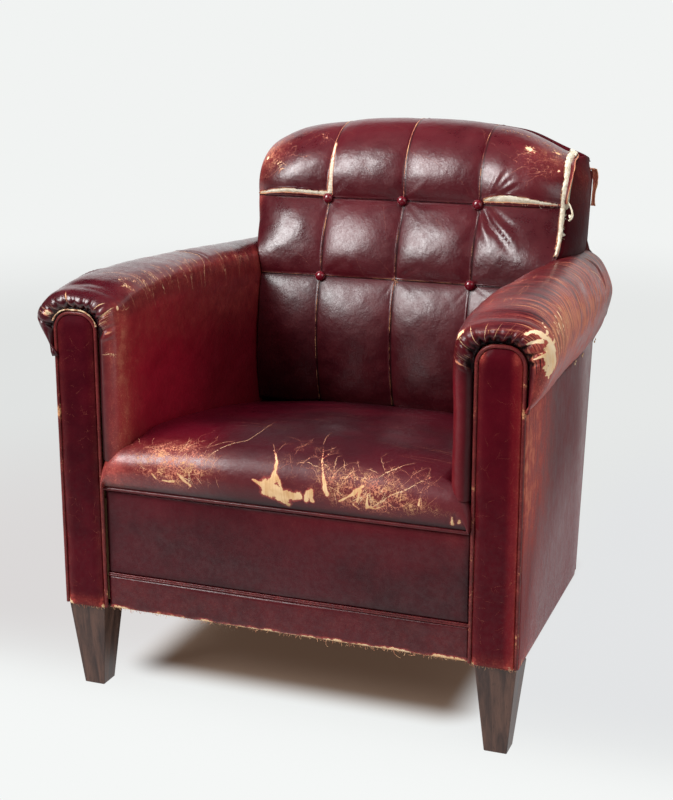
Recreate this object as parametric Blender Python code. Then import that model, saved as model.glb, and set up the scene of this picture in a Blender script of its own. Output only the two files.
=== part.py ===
"""A worn leather club chair: hardwood frame, webbing, coil springs, stuffing and leather covers.

Units are metres and +Z is up.  The chair faces -Y, its left arm is at -X, and its origin is the
centre of its footprint on the floor.  Inside the script, depth is counted from the front panels
of the arms towards the rear, and the empty "chair" moves everything onto the origin at the end.
"""

import math

import bmesh
import bpy
from mathutils import Vector

# Overall body
FRONT_HALF_WIDTH = 0.370        # centre line to the outer edge of an arm's front panel
SIDE_TAPER = 0.067              # how much narrower each side gets per metre of depth
BODY_BOTTOM_FRONT = 0.144       # height of the body's lower edge at the front
BODY_BOTTOM_SLOPE = 0.12        # how much lower that edge gets per metre of depth
REAR_FOOT_DEPTH = 0.600         # depth of the rear face at its lower edge
REAR_KNEE = (0.706, 0.486)      # depth and height where the rear face meets the arm seam
REAR_TOP = (0.763, 0.850)       # depth and height of the rear face under the crest
DEPTH_TO_CENTRE = 0.3766        # depth of the footprint's centre

# Thicknesses and gaps
LEATHER = 0.0025
GAP = 0.0006                    # clearance between pieces that rest on each other
WELT_RADIUS = 0.003

# Legs
LEG_TOP = 0.063
LEG_FOOT = 0.035
LEG_INSET = 0.003
REAR_LEG_TOP = 0.044
REAR_LEG_FOOT = 0.034
REAR_LEG_X = 0.272
REAR_LEG_DEPTH = 0.520

# Arm front panels
PANEL_WIDTH = 0.075             # with the welt on both edges
PANEL_TOP = 0.620
PANEL_CORNER = 0.030
PANEL_BACK = 0.012
PANEL_CROWN = 0.0075            # how far the padded face stands in front

# Arms
ARM_TOP = ((0.0, 0.644), (0.03, 0.654), (0.115, 0.666), (0.28, 0.665), (0.475, 0.656), (0.72, 0.645))
ARM_INNER_FRONT = 0.262         # centre line to the arm's inner face
ARM_INNER_REAR = 0.2555
ARM_SEAM_REAR = 0.486           # height of the nailed seam under the roll, at the rear
ARM_SEAM_FRONT = {"left": 0.550, "right": 0.527}
ROLL_OVERHANG = 0.035           # how far the roll stands out from the side, at the front
ROLL_OVERHANG_REAR = 0.029
ARM_REAR_DEPTH = 0.700
PLEATS = 10
PLEAT_DEPTH = 0.0028

# Seat
SEAT_WELT_HEIGHT = 0.343
SEAT_EDGE = ((0.0, 0.405), (0.02, 0.414), (0.05, 0.417), (0.10, 0.421), (0.183, 0.416),
             (0.273, 0.404), (0.377, 0.388), (0.49, 0.366), (0.512, 0.3530), (0.565, 0.351))
SEAT_CROWN = 0.016              # how much higher the middle of the seat stands than its sides
SEAT_BASE = 0.3465
SPRING_TOP = 0.318

# Apron and band under the seat
BAND_TOP = 0.196
APRON_BOTTOM = 0.2025
APRON_DEPTH = 0.006
APRON_CROWN = 0.005

# Tufted inside back
PAD_WIDTH = 0.139
TUFT_ROWS = (0.600, 0.734)
BACK_BOTTOM = 0.3705
PAD_FULLNESS = 0.023
BACK_HALF_WIDTH = ((0.37, 0.2525), (0.648, 0.2530), (0.667, 0.2680), (0.70, 0.2750), (0.734, 0.2800),
                   (0.90, 0.2840))
BACK_PLANE = ((0.37, 0.534), (0.45, 0.533), (0.600, 0.538), (0.734, 0.586))
CREST = ((0.0, 0.8700), (0.092, 0.8660), (0.151, 0.8600), (0.205, 0.8490), (0.254, 0.8320),
         (0.285, 0.8160), (0.300, 0.8000))
CREST_DEPTH = 0.715             # depth of the seam behind the crest
BORDER_BOTTOM = 0.6520
BUTTON_RADIUS = 0.0095
BUTTON_HEIGHT = 0.0065
MISSING_BUTTON = (0, 0)         # lower row, middle seam: only the knot is left

# Frame
RAIL = 0.026                    # thickness of the seat rails
RAIL_BOTTOM = 0.0105            # the rails' underside above the body's lower edge
RAIL_REAR_END = 0.598
FRONT_RAIL_DEPTH = (0.0130, 0.0130 + RAIL)
FRONT_RAIL_TOP = 0.3215
SIDE_RAIL_TOP = 0.300
REAR_RAIL = (0.092, 0.215)      # lower and upper edge
LOWER_BACK_RAIL = (0.335, 0.385)
CREST_RAIL_BOTTOM = 0.735
CREST_RAIL_DROP = 0.046         # its arched top below the crest
POST_X = (0.256, 0.290)
POST_DEPTH = 0.035
POST_TOP = 0.790
POST_TO_REAR = 0.005            # clearance in front of the outside back
POST_FRONT = (0.0130, 0.0500)   # depth of the posts inside the arms
FRONT_POST_X = (0.302, 0.356)
ARM_POST_TOP = 0.585
ARM_RAIL_END = 0.640
ARM_RAIL_FRONT = (0.306, 0.348, 0.545, 0.598)   # x and z of its front end
ARM_RAIL_REAR = (0.292, 0.312, 0.530, 0.580)    # x and z of its rear end

# Springs and webbing
SPRING_X = (-0.160, 0.0, 0.160)
SPRING_Y = (0.130, 0.295, 0.460)
SPRING_TURNS = 4
SPRING_WIRE = 0.0019
STRAP_WIDTH = 0.050
STRAP_THICKNESS = 0.002


def clear_scene():
    for obj in list(bpy.data.objects):
        bpy.data.objects.remove(obj, do_unlink=True)


# Materials --------------------------------------------------------------------------------------

def make_material(name, colour, roughness, metallic=0.0):
    material = bpy.data.materials.new(name)
    material.use_nodes = True
    shader = material.node_tree.nodes["Principled BSDF"]
    shader.inputs["Base Color"].default_value = (*colour, 1.0)
    shader.inputs["Roughness"].default_value = roughness
    shader.inputs["Metallic"].default_value = metallic
    material.diffuse_color = (*colour, 1.0)
    return material


def leather():
    return make_material("oxblood_leather", (0.115, 0.012, 0.020), 0.38)


def worn_leather():
    return make_material("worn_leather", (0.24, 0.055, 0.030), 0.45)


def stained_wood():
    return make_material("stained_wood", (0.050, 0.026, 0.018), 0.45)


def frame_wood():
    return make_material("frame_beech", (0.42, 0.27, 0.15), 0.65)


def spring_steel():
    return make_material("spring_steel", (0.30, 0.27, 0.24), 0.45, 0.9)


def jute():
    return make_material("jute_webbing", (0.40, 0.28, 0.15), 0.85)


def hessian():
    return make_material("hessian", (0.45, 0.34, 0.20), 0.9)


def wadding():
    return make_material("cotton_wadding", (0.66, 0.58, 0.46), 0.95)


def black_cloth():
    return make_material("black_cloth", (0.02, 0.02, 0.02), 0.9)


# Shape helpers ----------------------------------------------------------------------------------

def linear(table, x):
    """Reads a table of (x, value) pairs, straight between them and level beyond its ends."""
    if x <= table[0][0]:
        return table[0][1]
    for (x0, value0), (x1, value1) in zip(table, table[1:]):
        if x <= x1:
            return value0 + (value1 - value0) * (x - x0) / (x1 - x0)
    return table[-1][1]


def smooth_path(keys, t):
    """A point on the smooth curve through the keys, which stand at t = 0, 1, 2, ..."""
    index = min(int(t), len(keys) - 2)
    f = t - index
    before = keys[max(index - 1, 0)]
    start = keys[index]
    end = keys[index + 1]
    after = keys[min(index + 2, len(keys) - 1)]
    point = []
    for a, b, c, d in zip(before, start, end, after):
        slope0 = (c - a) / 2
        slope1 = (d - b) / 2
        point.append(b + slope0 * f + (3 * (c - b) - 2 * slope0 - slope1) * f ** 2
                     + (2 * (b - c) + slope0 + slope1) * f ** 3)
    return tuple(point)


def blend(a, b, f):
    return a + (b - a) * f


def side_x(depth):
    return FRONT_HALF_WIDTH - SIDE_TAPER * depth


def bottom_z(depth):
    return BODY_BOTTOM_FRONT - BODY_BOTTOM_SLOPE * depth


def rear_y(height):
    """Depth of the rear face at a height: it leans back, with a knee at the arm seam."""
    foot = (bottom_z(REAR_FOOT_DEPTH), REAR_FOOT_DEPTH)
    knee = (REAR_KNEE[1], REAR_KNEE[0])
    if height < knee[0]:
        return blend(foot[1], knee[1], (height - foot[0]) / (knee[0] - foot[0]))
    return blend(knee[1], REAR_TOP[0], (height - knee[0]) / (REAR_TOP[1] - knee[0]))


def add_mesh(name, points, faces, look, sharp=40):
    """A closed mesh object under the chair's empty, with its faces turned outwards."""
    mesh = bpy.data.meshes.new(name)
    mesh.from_pydata([tuple(point) for point in points], [], faces)
    work = bmesh.new()
    work.from_mesh(mesh)
    bmesh.ops.recalc_face_normals(work, faces=work.faces)
    work.to_mesh(mesh)
    work.free()
    mesh.shade_smooth()
    mesh.set_sharp_from_angle(angle=math.radians(sharp))
    mesh.materials.append(look)
    obj = bpy.data.objects.new(name, mesh)
    bpy.context.collection.objects.link(obj)
    obj.parent = chair
    return obj


def sheet_triangles(rows, columns, first, flip):
    """Two triangles for each cell; neighbouring cells split along opposite diagonals."""
    faces = []
    for i in range(rows - 1):
        for j in range(columns - 1):
            a = first + i * columns + j
            b = a + 1
            c = a + columns + 1
            d = a + columns
            pair = [(a, b, c), (a, c, d)] if (i + j) % 2 else [(a, b, d), (b, c, d)]
            faces += [face[::-1] for face in pair] if flip else pair
    return faces


def slab(name, outer, inner, look, sharp=40):
    """A closed layer between two grids that have the same rows and columns."""
    rows = len(outer)
    columns = len(outer[0])
    count = rows * columns
    points = [point for row in outer for point in row] + [point for row in inner for point in row]
    faces = sheet_triangles(rows, columns, 0, False) + sheet_triangles(rows, columns, count, True)
    rim = list(range(columns))
    rim += [i * columns + columns - 1 for i in range(1, rows)]
    rim += [(rows - 1) * columns + j for j in range(columns - 2, -1, -1)]
    rim += [i * columns for i in range(rows - 2, 0, -1)]
    for a, b in zip(rim, rim[1:] + rim[:1]):
        faces.append((b, a, a + count, b + count))
    return add_mesh(name, points, faces, look, sharp)


def grid_normals(grid):
    """The direction square to a grid at each of its points, by the right hand from rows to columns."""
    rows = len(grid)
    columns = len(grid[0])
    normals = []
    for i in range(rows):
        line = []
        for j in range(columns):
            along = grid[min(i + 1, rows - 1)][j] - grid[max(i - 1, 0)][j]
            across = grid[i][min(j + 1, columns - 1)] - grid[i][max(j - 1, 0)]
            line.append(along.cross(across).normalized())
        normals.append(line)
    return normals


def offset_grid(grid, distance):
    """The grid moved along its own normals, by a number or by a function of row and column."""
    normals = grid_normals(grid)
    moved = []
    for i, row in enumerate(grid):
        line = []
        for j, point in enumerate(row):
            step = distance(i, j) if callable(distance) else distance
            line.append(point + normals[i][j] * step)
        moved.append(line)
    return moved


def block(name, near, far, look, bevel=0.0):
    """A six-sided timber between two four-cornered ends."""
    faces = [(0, 1, 2, 3), (7, 6, 5, 4), (0, 4, 5, 1), (1, 5, 6, 2), (2, 6, 7, 3), (3, 7, 4, 0)]
    obj = add_mesh(name, list(near) + list(far), faces, look)
    if bevel:
        edges = obj.modifiers.new("eased_edges", "BEVEL")
        edges.width = bevel
        edges.segments = 1
    return obj


def rectangle_x(x, y0, y1, z0, z1):
    return [(x, y0, z0), (x, y1, z0), (x, y1, z1), (x, y0, z1)]


def rectangle_z(z, x0, x1, y0, y1):
    return [(x0, y0, z), (x1, y0, z), (x1, y1, z), (x0, y1, z)]


def cord(name, points, radius, look, sides=1, closed=False):
    """A round strand through the points, as a curve with a bevel and closed ends."""
    data = bpy.data.curves.new(name, "CURVE")
    data.dimensions = "3D"
    spline = data.splines.new("POLY")
    spline.points.add(len(points) - 1)
    for target, point in zip(spline.points, points):
        target.co = (*point, 1.0)
    spline.use_cyclic_u = closed
    data.bevel_depth = radius
    data.bevel_resolution = sides
    data.use_fill_caps = True
    data.materials.append(look)
    obj = bpy.data.objects.new(name, data)
    bpy.context.collection.objects.link(obj)
    obj.parent = chair
    return obj


# Legs and hardwood frame ------------------------------------------------------------------------

def leg(name, x0, x1, y0, y1, taper, look):
    """A square tapered leg whose top follows the slope of the body."""
    foot = rectangle_z(0.0, x0 + taper, x1 - taper, y0 + taper, y1 - taper)
    top = [(x, y, bottom_z(y) - GAP) for x, y, _ in rectangle_z(0.0, x0, x1, y0, y1)]
    block(name, foot, top, look, bevel=0.0012)


def legs():
    look = stained_wood()
    taper = (LEG_TOP - LEG_FOOT) / 2
    outer = FRONT_HALF_WIDTH - LEG_INSET
    rear_taper = (REAR_LEG_TOP - REAR_LEG_FOOT) / 2
    for side, sign in (("left", -1), ("right", 1)):
        x0, x1 = sorted((sign * outer, sign * (outer - LEG_TOP)))
        leg(f"front_leg_{side}", x0, x1, LEG_INSET, LEG_INSET + LEG_TOP, taper, look)
        middle = sign * REAR_LEG_X
        half = REAR_LEG_TOP / 2
        leg(f"rear_leg_{side}", middle - half, middle + half, REAR_LEG_DEPTH,
            REAR_LEG_DEPTH + REAR_LEG_TOP, rear_taper, look)


def front_rail(look):
    y0, y1 = FRONT_RAIL_DEPTH
    z0 = bottom_z(y0) + RAIL_BOTTOM
    half = FRONT_POST_X[0] - GAP
    block("front_rail", rectangle_x(-half, y0, y1, z0, FRONT_RAIL_TOP),
          rectangle_x(half, y0, y1, z0, FRONT_RAIL_TOP), look)


def side_rails(look):
    start = POST_FRONT[1] + GAP
    for side, sign in (("left", -1), ("right", 1)):
        ends = []
        for depth in (start, RAIL_REAR_END):
            outer = side_x(depth) - LEATHER - GAP
            inner = outer - RAIL
            z0 = bottom_z(depth) + RAIL_BOTTOM
            ends.append([(sign * x, depth, z) for x, z in
                         ((inner, z0), (outer, z0), (outer, SIDE_RAIL_TOP), (inner, SIDE_RAIL_TOP))])
        block(f"side_rail_{side}", ends[0], ends[1], look)


def rear_box(x0, x1, z0, z1, thickness):
    """The two ends of a timber that lies against the leaning rear face."""
    ends = []
    for x in (x0, x1):
        ends.append([(x, rear_y(z) - POST_TO_REAR - back, z)
                     for z, back in ((z0, thickness), (z0, 0.0), (z1, 0.0), (z1, thickness))])
    return ends


def rear_rails(look):
    half = POST_X[0] - GAP
    near, far = rear_box(-half, half, *REAR_RAIL, RAIL)
    block("rear_rail", near, far, look)
    near, far = rear_box(-half, half, *LOWER_BACK_RAIL, RAIL)
    block("lower_back_rail", near, far, look)


def back_posts(look):
    """Raked uprights with the same knee as the rear face."""
    heights = (REAR_RAIL[0], REAR_KNEE[1], POST_TOP)
    for side, sign in (("left", -1), ("right", 1)):
        points = []
        for z in heights:
            rear = rear_y(z) - POST_TO_REAR
            points += [(sign * POST_X[0], rear - POST_DEPTH, z), (sign * POST_X[1], rear - POST_DEPTH, z),
                       (sign * POST_X[1], rear, z), (sign * POST_X[0], rear, z)]
        faces = [(0, 1, 2, 3), (11, 10, 9, 8)]
        for level in (0, 4):
            for k in range(4):
                a = level + k
                b = level + (k + 1) % 4
                faces.append((a, a + 4, b + 4, b))
        add_mesh(f"back_post_{side}", points, faces, look)


def back_top_rail(look):
    """The crest rail: level below, arched above."""
    steps = 8
    half = POST_X[0] - GAP
    front = []
    rear = []
    for k in range(steps + 1):
        x = blend(-half, half, k / steps)
        top = linear(CREST, abs(x)) - CREST_RAIL_DROP
        line = [Vector((x, rear_y(z) - POST_TO_REAR, z)) for z in (CREST_RAIL_BOTTOM, top)]
        rear.append(line)
        front.append([point - Vector((0.0, POST_DEPTH, 0.0)) for point in line])
    slab("back_top_rail", front, rear, look)


def arm_frame(look):
    for side, sign in (("left", -1), ("right", 1)):
        x0, x1 = FRONT_POST_X
        y0, y1 = POST_FRONT
        z0 = bottom_z(y1) + RAIL_BOTTOM + 0.004
        near = rectangle_z(z0, sign * x0, sign * x1, y0, y1)
        far = rectangle_z(ARM_POST_TOP, sign * x0, sign * x1, y0, y1)
        block(f"arm_post_{side}", near, far, look)
        ends = []
        for y, (inner, outer, low, high) in ((POST_FRONT[1] + GAP, ARM_RAIL_FRONT),
                                             (ARM_RAIL_END, ARM_RAIL_REAR)):
            ends.append([(sign * x, y, z)
                         for x, z in ((inner, low), (outer, low), (outer, high), (inner, high))])
        block(f"arm_rail_{side}", ends[0], ends[1], look)


# Webbing, springs and seat filling ----------------------------------------------------------------

def strap_level(depth, layer):
    return bottom_z(depth) + 0.0055 + layer * (STRAP_THICKNESS + GAP / 2)


def webbing():
    look = jute()
    half = STRAP_WIDTH / 2
    for number, y in enumerate(SPRING_Y, 1):
        reach = side_x(y) - 0.009
        ends = []
        for x in (-reach, reach):
            ends.append([(x, y + step, strap_level(y + step, 0) + lift)
                         for step, lift in ((-half, 0.0), (half, 0.0), (half, STRAP_THICKNESS),
                                            (-half, STRAP_THICKNESS))])
        block(f"cross_strap_{number}", ends[0], ends[1], look)
    for number, x in enumerate(SPRING_X, 1):
        ends = []
        for y in (FRONT_RAIL_DEPTH[0] + 0.002, 0.590):
            z = strap_level(y, 1)
            ends.append([(x - half, y, z), (x + half, y, z), (x + half, y, z + STRAP_THICKNESS),
                         (x - half, y, z + STRAP_THICKNESS)])
        block(f"long_strap_{number}", ends[0], ends[1], look)


def seat_springs():
    """Waisted coils that stand on the webbing where its straps cross."""
    look = spring_steel()
    steps = 7 * SPRING_TURNS
    number = 0
    for y in SPRING_Y:
        for x in SPRING_X:
            number += 1
            low = strap_level(y - STRAP_WIDTH / 2, 2) + SPRING_WIRE + GAP
            high = SPRING_TOP - SPRING_WIRE - GAP
            points = []
            for k in range(steps + 1):
                f = k / steps
                angle = math.tau * SPRING_TURNS * f
                radius = 0.022 + 0.012 * (2 * f - 1) ** 2
                points.append((x + radius * math.cos(angle), y + radius * math.sin(angle),
                               blend(low, high, f)))
            cord(f"seat_spring_{number}", points, SPRING_WIRE, look, sides=0)


def spring_canvas():
    half = 0.245
    near = rectangle_z(SPRING_TOP, -half, half, FRONT_RAIL_DEPTH[1] + 0.004, 0.555)
    far = rectangle_z(SPRING_TOP + 0.0015, -half, half, FRONT_RAIL_DEPTH[1] + 0.004, 0.555)
    block("spring_canvas", near, far, hessian())


# Depth of each row of the seat, with the height of its edge where the front roll curls under
SEAT_ROWS = ((-0.001, SEAT_BASE), (-0.008, 0.360), (-0.011, 0.376), (-0.007, 0.391), (0.004, 0.403),
             (0.024, None), (0.050, None), (0.10, None), (0.183, None), (0.273, None), (0.377, None),
             (0.490, None), (0.512, None), (0.565, None))
SEAT_ROLL_ROWS = 5
SEAT_COLUMNS = (0.0, 0.30, 0.58, 0.80, 0.92)
EAR_DEPTH = 0.015               # in front of this depth the seat reaches the arm panels
EAR_HALF_WIDTH = 0.2935


def arm_inner_x(depth):
    return blend(ARM_INNER_FRONT, ARM_INNER_REAR, min(max(depth, 0.0) / 0.53, 1.0))


def seat_row(depth, height, crown, inset):
    """One row across the seat, from its left lower edge over the crown to its right one."""
    wide = depth < EAR_DEPTH
    limit = EAR_HALF_WIDTH - 3 * inset if wide else arm_inner_x(depth) - 2 * GAP - inset
    shoulder = blend(SEAT_BASE, height, 0.82)
    half = [(limit * f, height + crown * (1 - f ** 2)) for f in SEAT_COLUMNS]
    half += [(limit * 0.975, height - 0.25 * (height - shoulder)), (limit * 0.993, shoulder),
             (limit, SEAT_BASE)]
    right = [(x, max(z - inset, SEAT_BASE)) for x, z in half]
    left = [(-x, z) for x, z in right[:0:-1]]
    return left + right


def seat_surface(inset):
    """The seat's leather surface, or the one that lies `inset` inside it."""
    grid = []
    for number, (depth, height) in enumerate(SEAT_ROWS):
        if height is None:
            height = linear(SEAT_EDGE, depth)
        crown = SEAT_CROWN * min(number / SEAT_ROLL_ROWS, 1.0)
        y = depth + inset if number < SEAT_ROLL_ROWS - 1 else depth
        if number == len(SEAT_ROWS) - 1:
            y = depth - inset
        line = [Vector((x, y, z)) for x, z in seat_row(depth, height, crown, inset)]
        # The lower corners stay behind the front roll, each row a little behind the last
        for corner in (line[0], line[-1]):
            corner.y = max(y, SEAT_ROWS[0][0] + inset + number * GAP)
        grid.append(line)
    return grid


def seat():
    slab("seat_cover", seat_surface(0.0), seat_surface(LEATHER), leather())
    top = seat_surface(LEATHER + 6 * GAP)
    rows = len(top)
    columns = len(top[0])
    bottom = []
    for i in range(rows):
        y = blend(0.046, 0.552, i / (rows - 1))
        bottom.append([Vector((blend(-0.242, 0.242, j / (columns - 1)), y, SPRING_TOP + 0.0021))
                       for j in range(columns)])
    slab("seat_stuffing", top, bottom, wadding())
    half = EAR_HALF_WIDTH
    points = [(blend(-half, half, k / 10), 0.0, SEAT_WELT_HEIGHT) for k in range(11)]
    cord("seat_welt", points, WELT_RADIUS, leather())


# Front apron ------------------------------------------------------------------------------------

def front_sheet(name, z0, z1, depth, crown, columns, rows, look):
    """A leather sheet between the arm panels that swells gently towards the front."""
    outer = []
    for i in range(rows + 1):
        v = i / rows
        line = []
        for j in range(columns + 1):
            u = 2 * j / columns - 1
            swell = crown * (1 - u ** 4) * math.sin(math.pi * v) ** 0.7
            line.append(Vector((EAR_HALF_WIDTH * u, depth - swell, blend(z0, z1, v))))
        outer.append(line)
    inner = [[point + Vector((0.0, LEATHER, 0.0)) for point in row] for row in outer]
    slab(name, outer, inner, look)


def apron():
    look = leather()
    front_sheet("apron", APRON_BOTTOM, SEAT_WELT_HEIGHT - WELT_RADIUS - GAP, APRON_DEPTH, APRON_CROWN,
                10, 6, look)
    front_sheet("lower_band", BODY_BOTTOM_FRONT, BAND_TOP, APRON_DEPTH - 0.001, 0.0015, 10, 3, look)
    half = EAR_HALF_WIDTH
    z0 = BAND_TOP + GAP
    height = APRON_BOTTOM - GAP - z0
    profile = [(0.0085, 0.0), (0.003, 0.0), (0.0, 0.12), (-0.001, 0.25), (0.0, 0.38), (0.002, 0.5),
               (0.0, 0.62), (-0.001, 0.75), (0.0, 0.88), (0.003, 1.0), (0.0085, 1.0)]
    ends = [[Vector((x, y, z0 + height * f)) for y, f in profile] for x in (-half, half)]
    count = len(profile)
    faces = [tuple(range(count)), tuple(range(2 * count - 1, count - 1, -1))]
    faces += [(k, (k + 1) % count, (k + 1) % count + count, k + count) for k in range(count)]
    add_mesh("double_welt", ends[0] + ends[1], faces, look)


# Arms -------------------------------------------------------------------------------------------

def arm_section(depth, seam_front):
    """The arm's outline at one depth: seam, roll, top, inner face and the tuck beside the seat."""
    f = min(max(depth / ARM_REAR_DEPTH, 0.0), 1.0)
    side = side_x(depth)
    top = linear(ARM_TOP, depth)
    seam = blend(seam_front, ARM_SEAM_REAR, f)
    out = blend(ROLL_OVERHANG, ROLL_OVERHANG_REAR, f)
    inner = arm_inner_x(depth)
    bottom = linear(SEAT_EDGE, max(depth, 0.05)) - 0.030
    shoulder = side - blend(0.004, 0.022, f)
    return [(side + 0.0025, seam),
            (side + 0.62 * out, blend(seam, top, 0.22)),
            (side + out, blend(seam, top, 0.56)),
            (side + blend(0.025, 0.008, f), top - 0.022),
            (shoulder, top - 0.002),
            (blend(shoulder, inner + 0.012, 0.5), top),
            (inner + 0.013, top - 0.012),
            (inner, top - 0.045),
            (inner, blend(bottom, top - 0.045, 0.5)),
            (inner, bottom)]


def panel_outline_keys(clearance, seam_front, bottom):
    """The edge of the arm's front panel, met by the arm's leather at the same ten places."""
    outer = FRONT_HALF_WIDTH + clearance
    inner = FRONT_HALF_WIDTH - PANEL_WIDTH - clearance
    top = PANEL_TOP + clearance
    corner = PANEL_CORNER + clearance
    return [(outer + 0.0045, seam_front),
            (outer + 0.003, seam_front + 0.02),
            (outer, top - corner),
            (outer - 0.29 * corner, top - 0.29 * corner),
            (outer - 0.9 * corner, top),
            (inner + 0.7 * corner, top),
            (inner + 0.22 * corner, top - 0.29 * corner),
            (inner, top - corner),
            (inner, blend(bottom, top - corner, 0.5)),
            (inner, bottom)]


# Where each column of the arm's surface ends at the rear, beside or under the back
ARM_ENDS = ((0, 0.7012), (2, 0.7125), (3, 0.7210), (4, 0.7235), (4.6, 0.688), (7, 0.620))
ARM_ROWS = (0.700, 0.56, 0.43, 0.31, 0.21, 0.14, 0.09, 0.05)
# The front border: depth, how far it has closed on the panel, and how deep its pleats are
ARM_BORDER = ((0.022, 0.0, 0.3), (0.004, 0.16, 0.7), (-0.006, 0.46, 1.0), (-0.005, 0.76, 0.9),
              (0.008, 1.0, 0.0))
BORDER_BOTTOM_AT_SEAT = 0.4085
PLEAT_START = 2
PLEAT_END = 7
STUFFING_SHORT = 0.008          # how much sooner the stuffing ends at the rear


def arm_depth(depth, s, short):
    """Depth of a row at one column: rows spread from the front so that each column has its own end."""
    end = linear(ARM_ENDS, s) - short
    return blend(ARM_ROWS[-1], end, (depth - ARM_ROWS[-1]) / (ARM_ROWS[0] - ARM_ROWS[-1]))


def arm_surface(seam_front, stops, pleated, short=0.0):
    """The arm's leather at +X, as rows from the rear to the front panel."""
    grid = []
    for depth in ARM_ROWS:
        line = []
        for s in stops:
            y = arm_depth(depth, s, short)
            x, z = smooth_path(arm_section(y, seam_front), s)
            line.append(Vector((x, y, z)))
        grid.append(line)
    panel = panel_outline_keys(0.0012, seam_front, BORDER_BOTTOM_AT_SEAT)
    open_end = arm_section(ARM_BORDER[0][0], seam_front)
    open_end[-1] = (open_end[-1][0], BORDER_BOTTOM_AT_SEAT)
    for depth, closed, _ in ARM_BORDER:
        line = []
        for s in stops:
            x0, z0 = smooth_path(open_end, s)
            x1, z1 = smooth_path(panel, s)
            line.append(Vector((blend(x0, x1, closed), depth, blend(z0, z1, closed))))
        grid.append(line)
    if not pleated:
        return grid

    def pleat(i, j):
        if i < len(ARM_ROWS) or not PLEAT_START < stops[j] < PLEAT_END:
            return 0.0
        return (PLEAT_DEPTH if j % 2 else -PLEAT_DEPTH) * ARM_BORDER[i - len(ARM_ROWS)][2] / 2

    return offset_grid(grid, pleat)


def arm_core(seam_front, stops):
    """The inside of the arm's stuffing, just clear of the post and the rail."""
    grid = []
    for depth in ARM_ROWS:
        line = []
        for s in stops:
            y = arm_depth(depth, s, STUFFING_SHORT)
            line.append(core_point(y, y, seam_front, s))
        grid.append(line)
    for number, (depth, _, _) in enumerate(ARM_BORDER):
        y = blend(0.044, 0.021, number / (len(ARM_BORDER) - 1))
        grid.append([core_point(y, 0.03, seam_front, s) for s in stops])
    return grid


def core_point(y, depth, seam_front, s):
    f = depth / ARM_REAR_DEPTH
    outer = side_x(depth) - 0.0090
    inner = arm_inner_x(depth) + 0.033
    top = linear(ARM_TOP, max(depth, 0.05)) - 0.048
    seam = blend(seam_front, ARM_SEAM_REAR, f)
    bottom = BORDER_BOTTOM_AT_SEAT if y < 0.05 else linear(SEAT_EDGE, depth) - 0.030
    keys = [(outer, seam), (outer, blend(seam, top, 0.3)), (outer, blend(seam, top, 0.6)),
            (outer - 0.004, top - 0.006), (blend(outer, inner, 0.3), top), (blend(outer, inner, 0.7), top),
            (inner + 0.004, top - 0.006), (inner, top - 0.030), (inner, blend(bottom, top, 0.45)),
            (inner, bottom)]
    x, z = smooth_path(keys, s)
    return Vector((x, y, z))


def mirrored(grid, sign):
    return [[Vector((sign * point.x, point.y, point.z)) for point in row] for row in grid]


def arms():
    step = (PLEAT_END - PLEAT_START) / (2 * PLEATS)
    stops = [0.0, 1.0]
    stops += [PLEAT_START + k * step for k in range(2 * PLEATS + 1)]
    stops += [7.6, 8.3, 9.0]
    coarse = [float(k) for k in range(10)]
    hide = leather()
    filling = wadding()
    for side, sign in (("left", -1), ("right", 1)):
        seam = ARM_SEAM_FRONT[side]
        outer = arm_surface(seam, stops, True)
        inner = offset_grid(outer, LEATHER)
        slab(f"arm_cover_{side}", mirrored(outer, sign), mirrored(inner, sign), hide)
        pad_seam = seam + 0.005
        pad = offset_grid(arm_surface(pad_seam, coarse, False, STUFFING_SHORT), 0.007)
        core = arm_core(pad_seam, coarse)
        slab(f"arm_stuffing_{side}", mirrored(pad, sign), mirrored(core, sign), filling)


def rounded_top(middle, half, top, bottom, corner, steps=5):
    """An upright outline with two round upper corners, from its outer foot to its inner one."""
    points = [(middle + half, bottom)]
    for start, x in ((0.0, middle + half - corner), (math.pi / 2, middle - half + corner)):
        for k in range(steps + 1):
            angle = start + math.pi / 2 * k / steps
            points.append((x + corner * math.cos(angle), top - corner + corner * math.sin(angle)))
    points.append((middle - half, bottom))
    return points


def arm_panels():
    hide = leather()
    middle = FRONT_HALF_WIDTH - PANEL_WIDTH / 2
    half = PANEL_WIDTH / 2 - 2 * WELT_RADIUS - GAP
    top = PANEL_TOP - 2 * WELT_RADIUS - GAP
    corner = PANEL_CORNER - 2 * WELT_RADIUS
    bottom = BODY_BOTTOM_FRONT
    rings = ((PANEL_BACK, 0.0), (0.0, 0.0), (-0.0045, 0.003), (-0.7 * PANEL_CROWN - 0.001, 0.009),
             (-PANEL_CROWN, 0.019))
    for side, sign in (("left", -1), ("right", 1)):
        points = []
        for y, inset in rings:
            outline = rounded_top(middle, half - inset, top - inset, bottom + inset * 0.2,
                                  corner - 0.7 * inset)
            points += [(sign * x, y, z) for x, z in outline]
        count = len(points) // len(rings)
        faces = [tuple(range(count)), tuple(range(len(points) - 1, len(points) - count - 1, -1))]
        for ring in range(len(rings) - 1):
            for k in range(count):
                a = ring * count + k
                b = ring * count + (k + 1) % count
                faces.append((a, b, b + count, a + count))
        add_mesh(f"arm_panel_{side}", points, faces, hide)
        path = rounded_top(middle, PANEL_WIDTH / 2 - WELT_RADIUS, PANEL_TOP - WELT_RADIUS,
                           bottom + 0.001, PANEL_CORNER - WELT_RADIUS, steps=4)
        cord(f"arm_welt_{side}", [(sign * x, 0.0, z) for x, z in path], WELT_RADIUS, hide)


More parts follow.
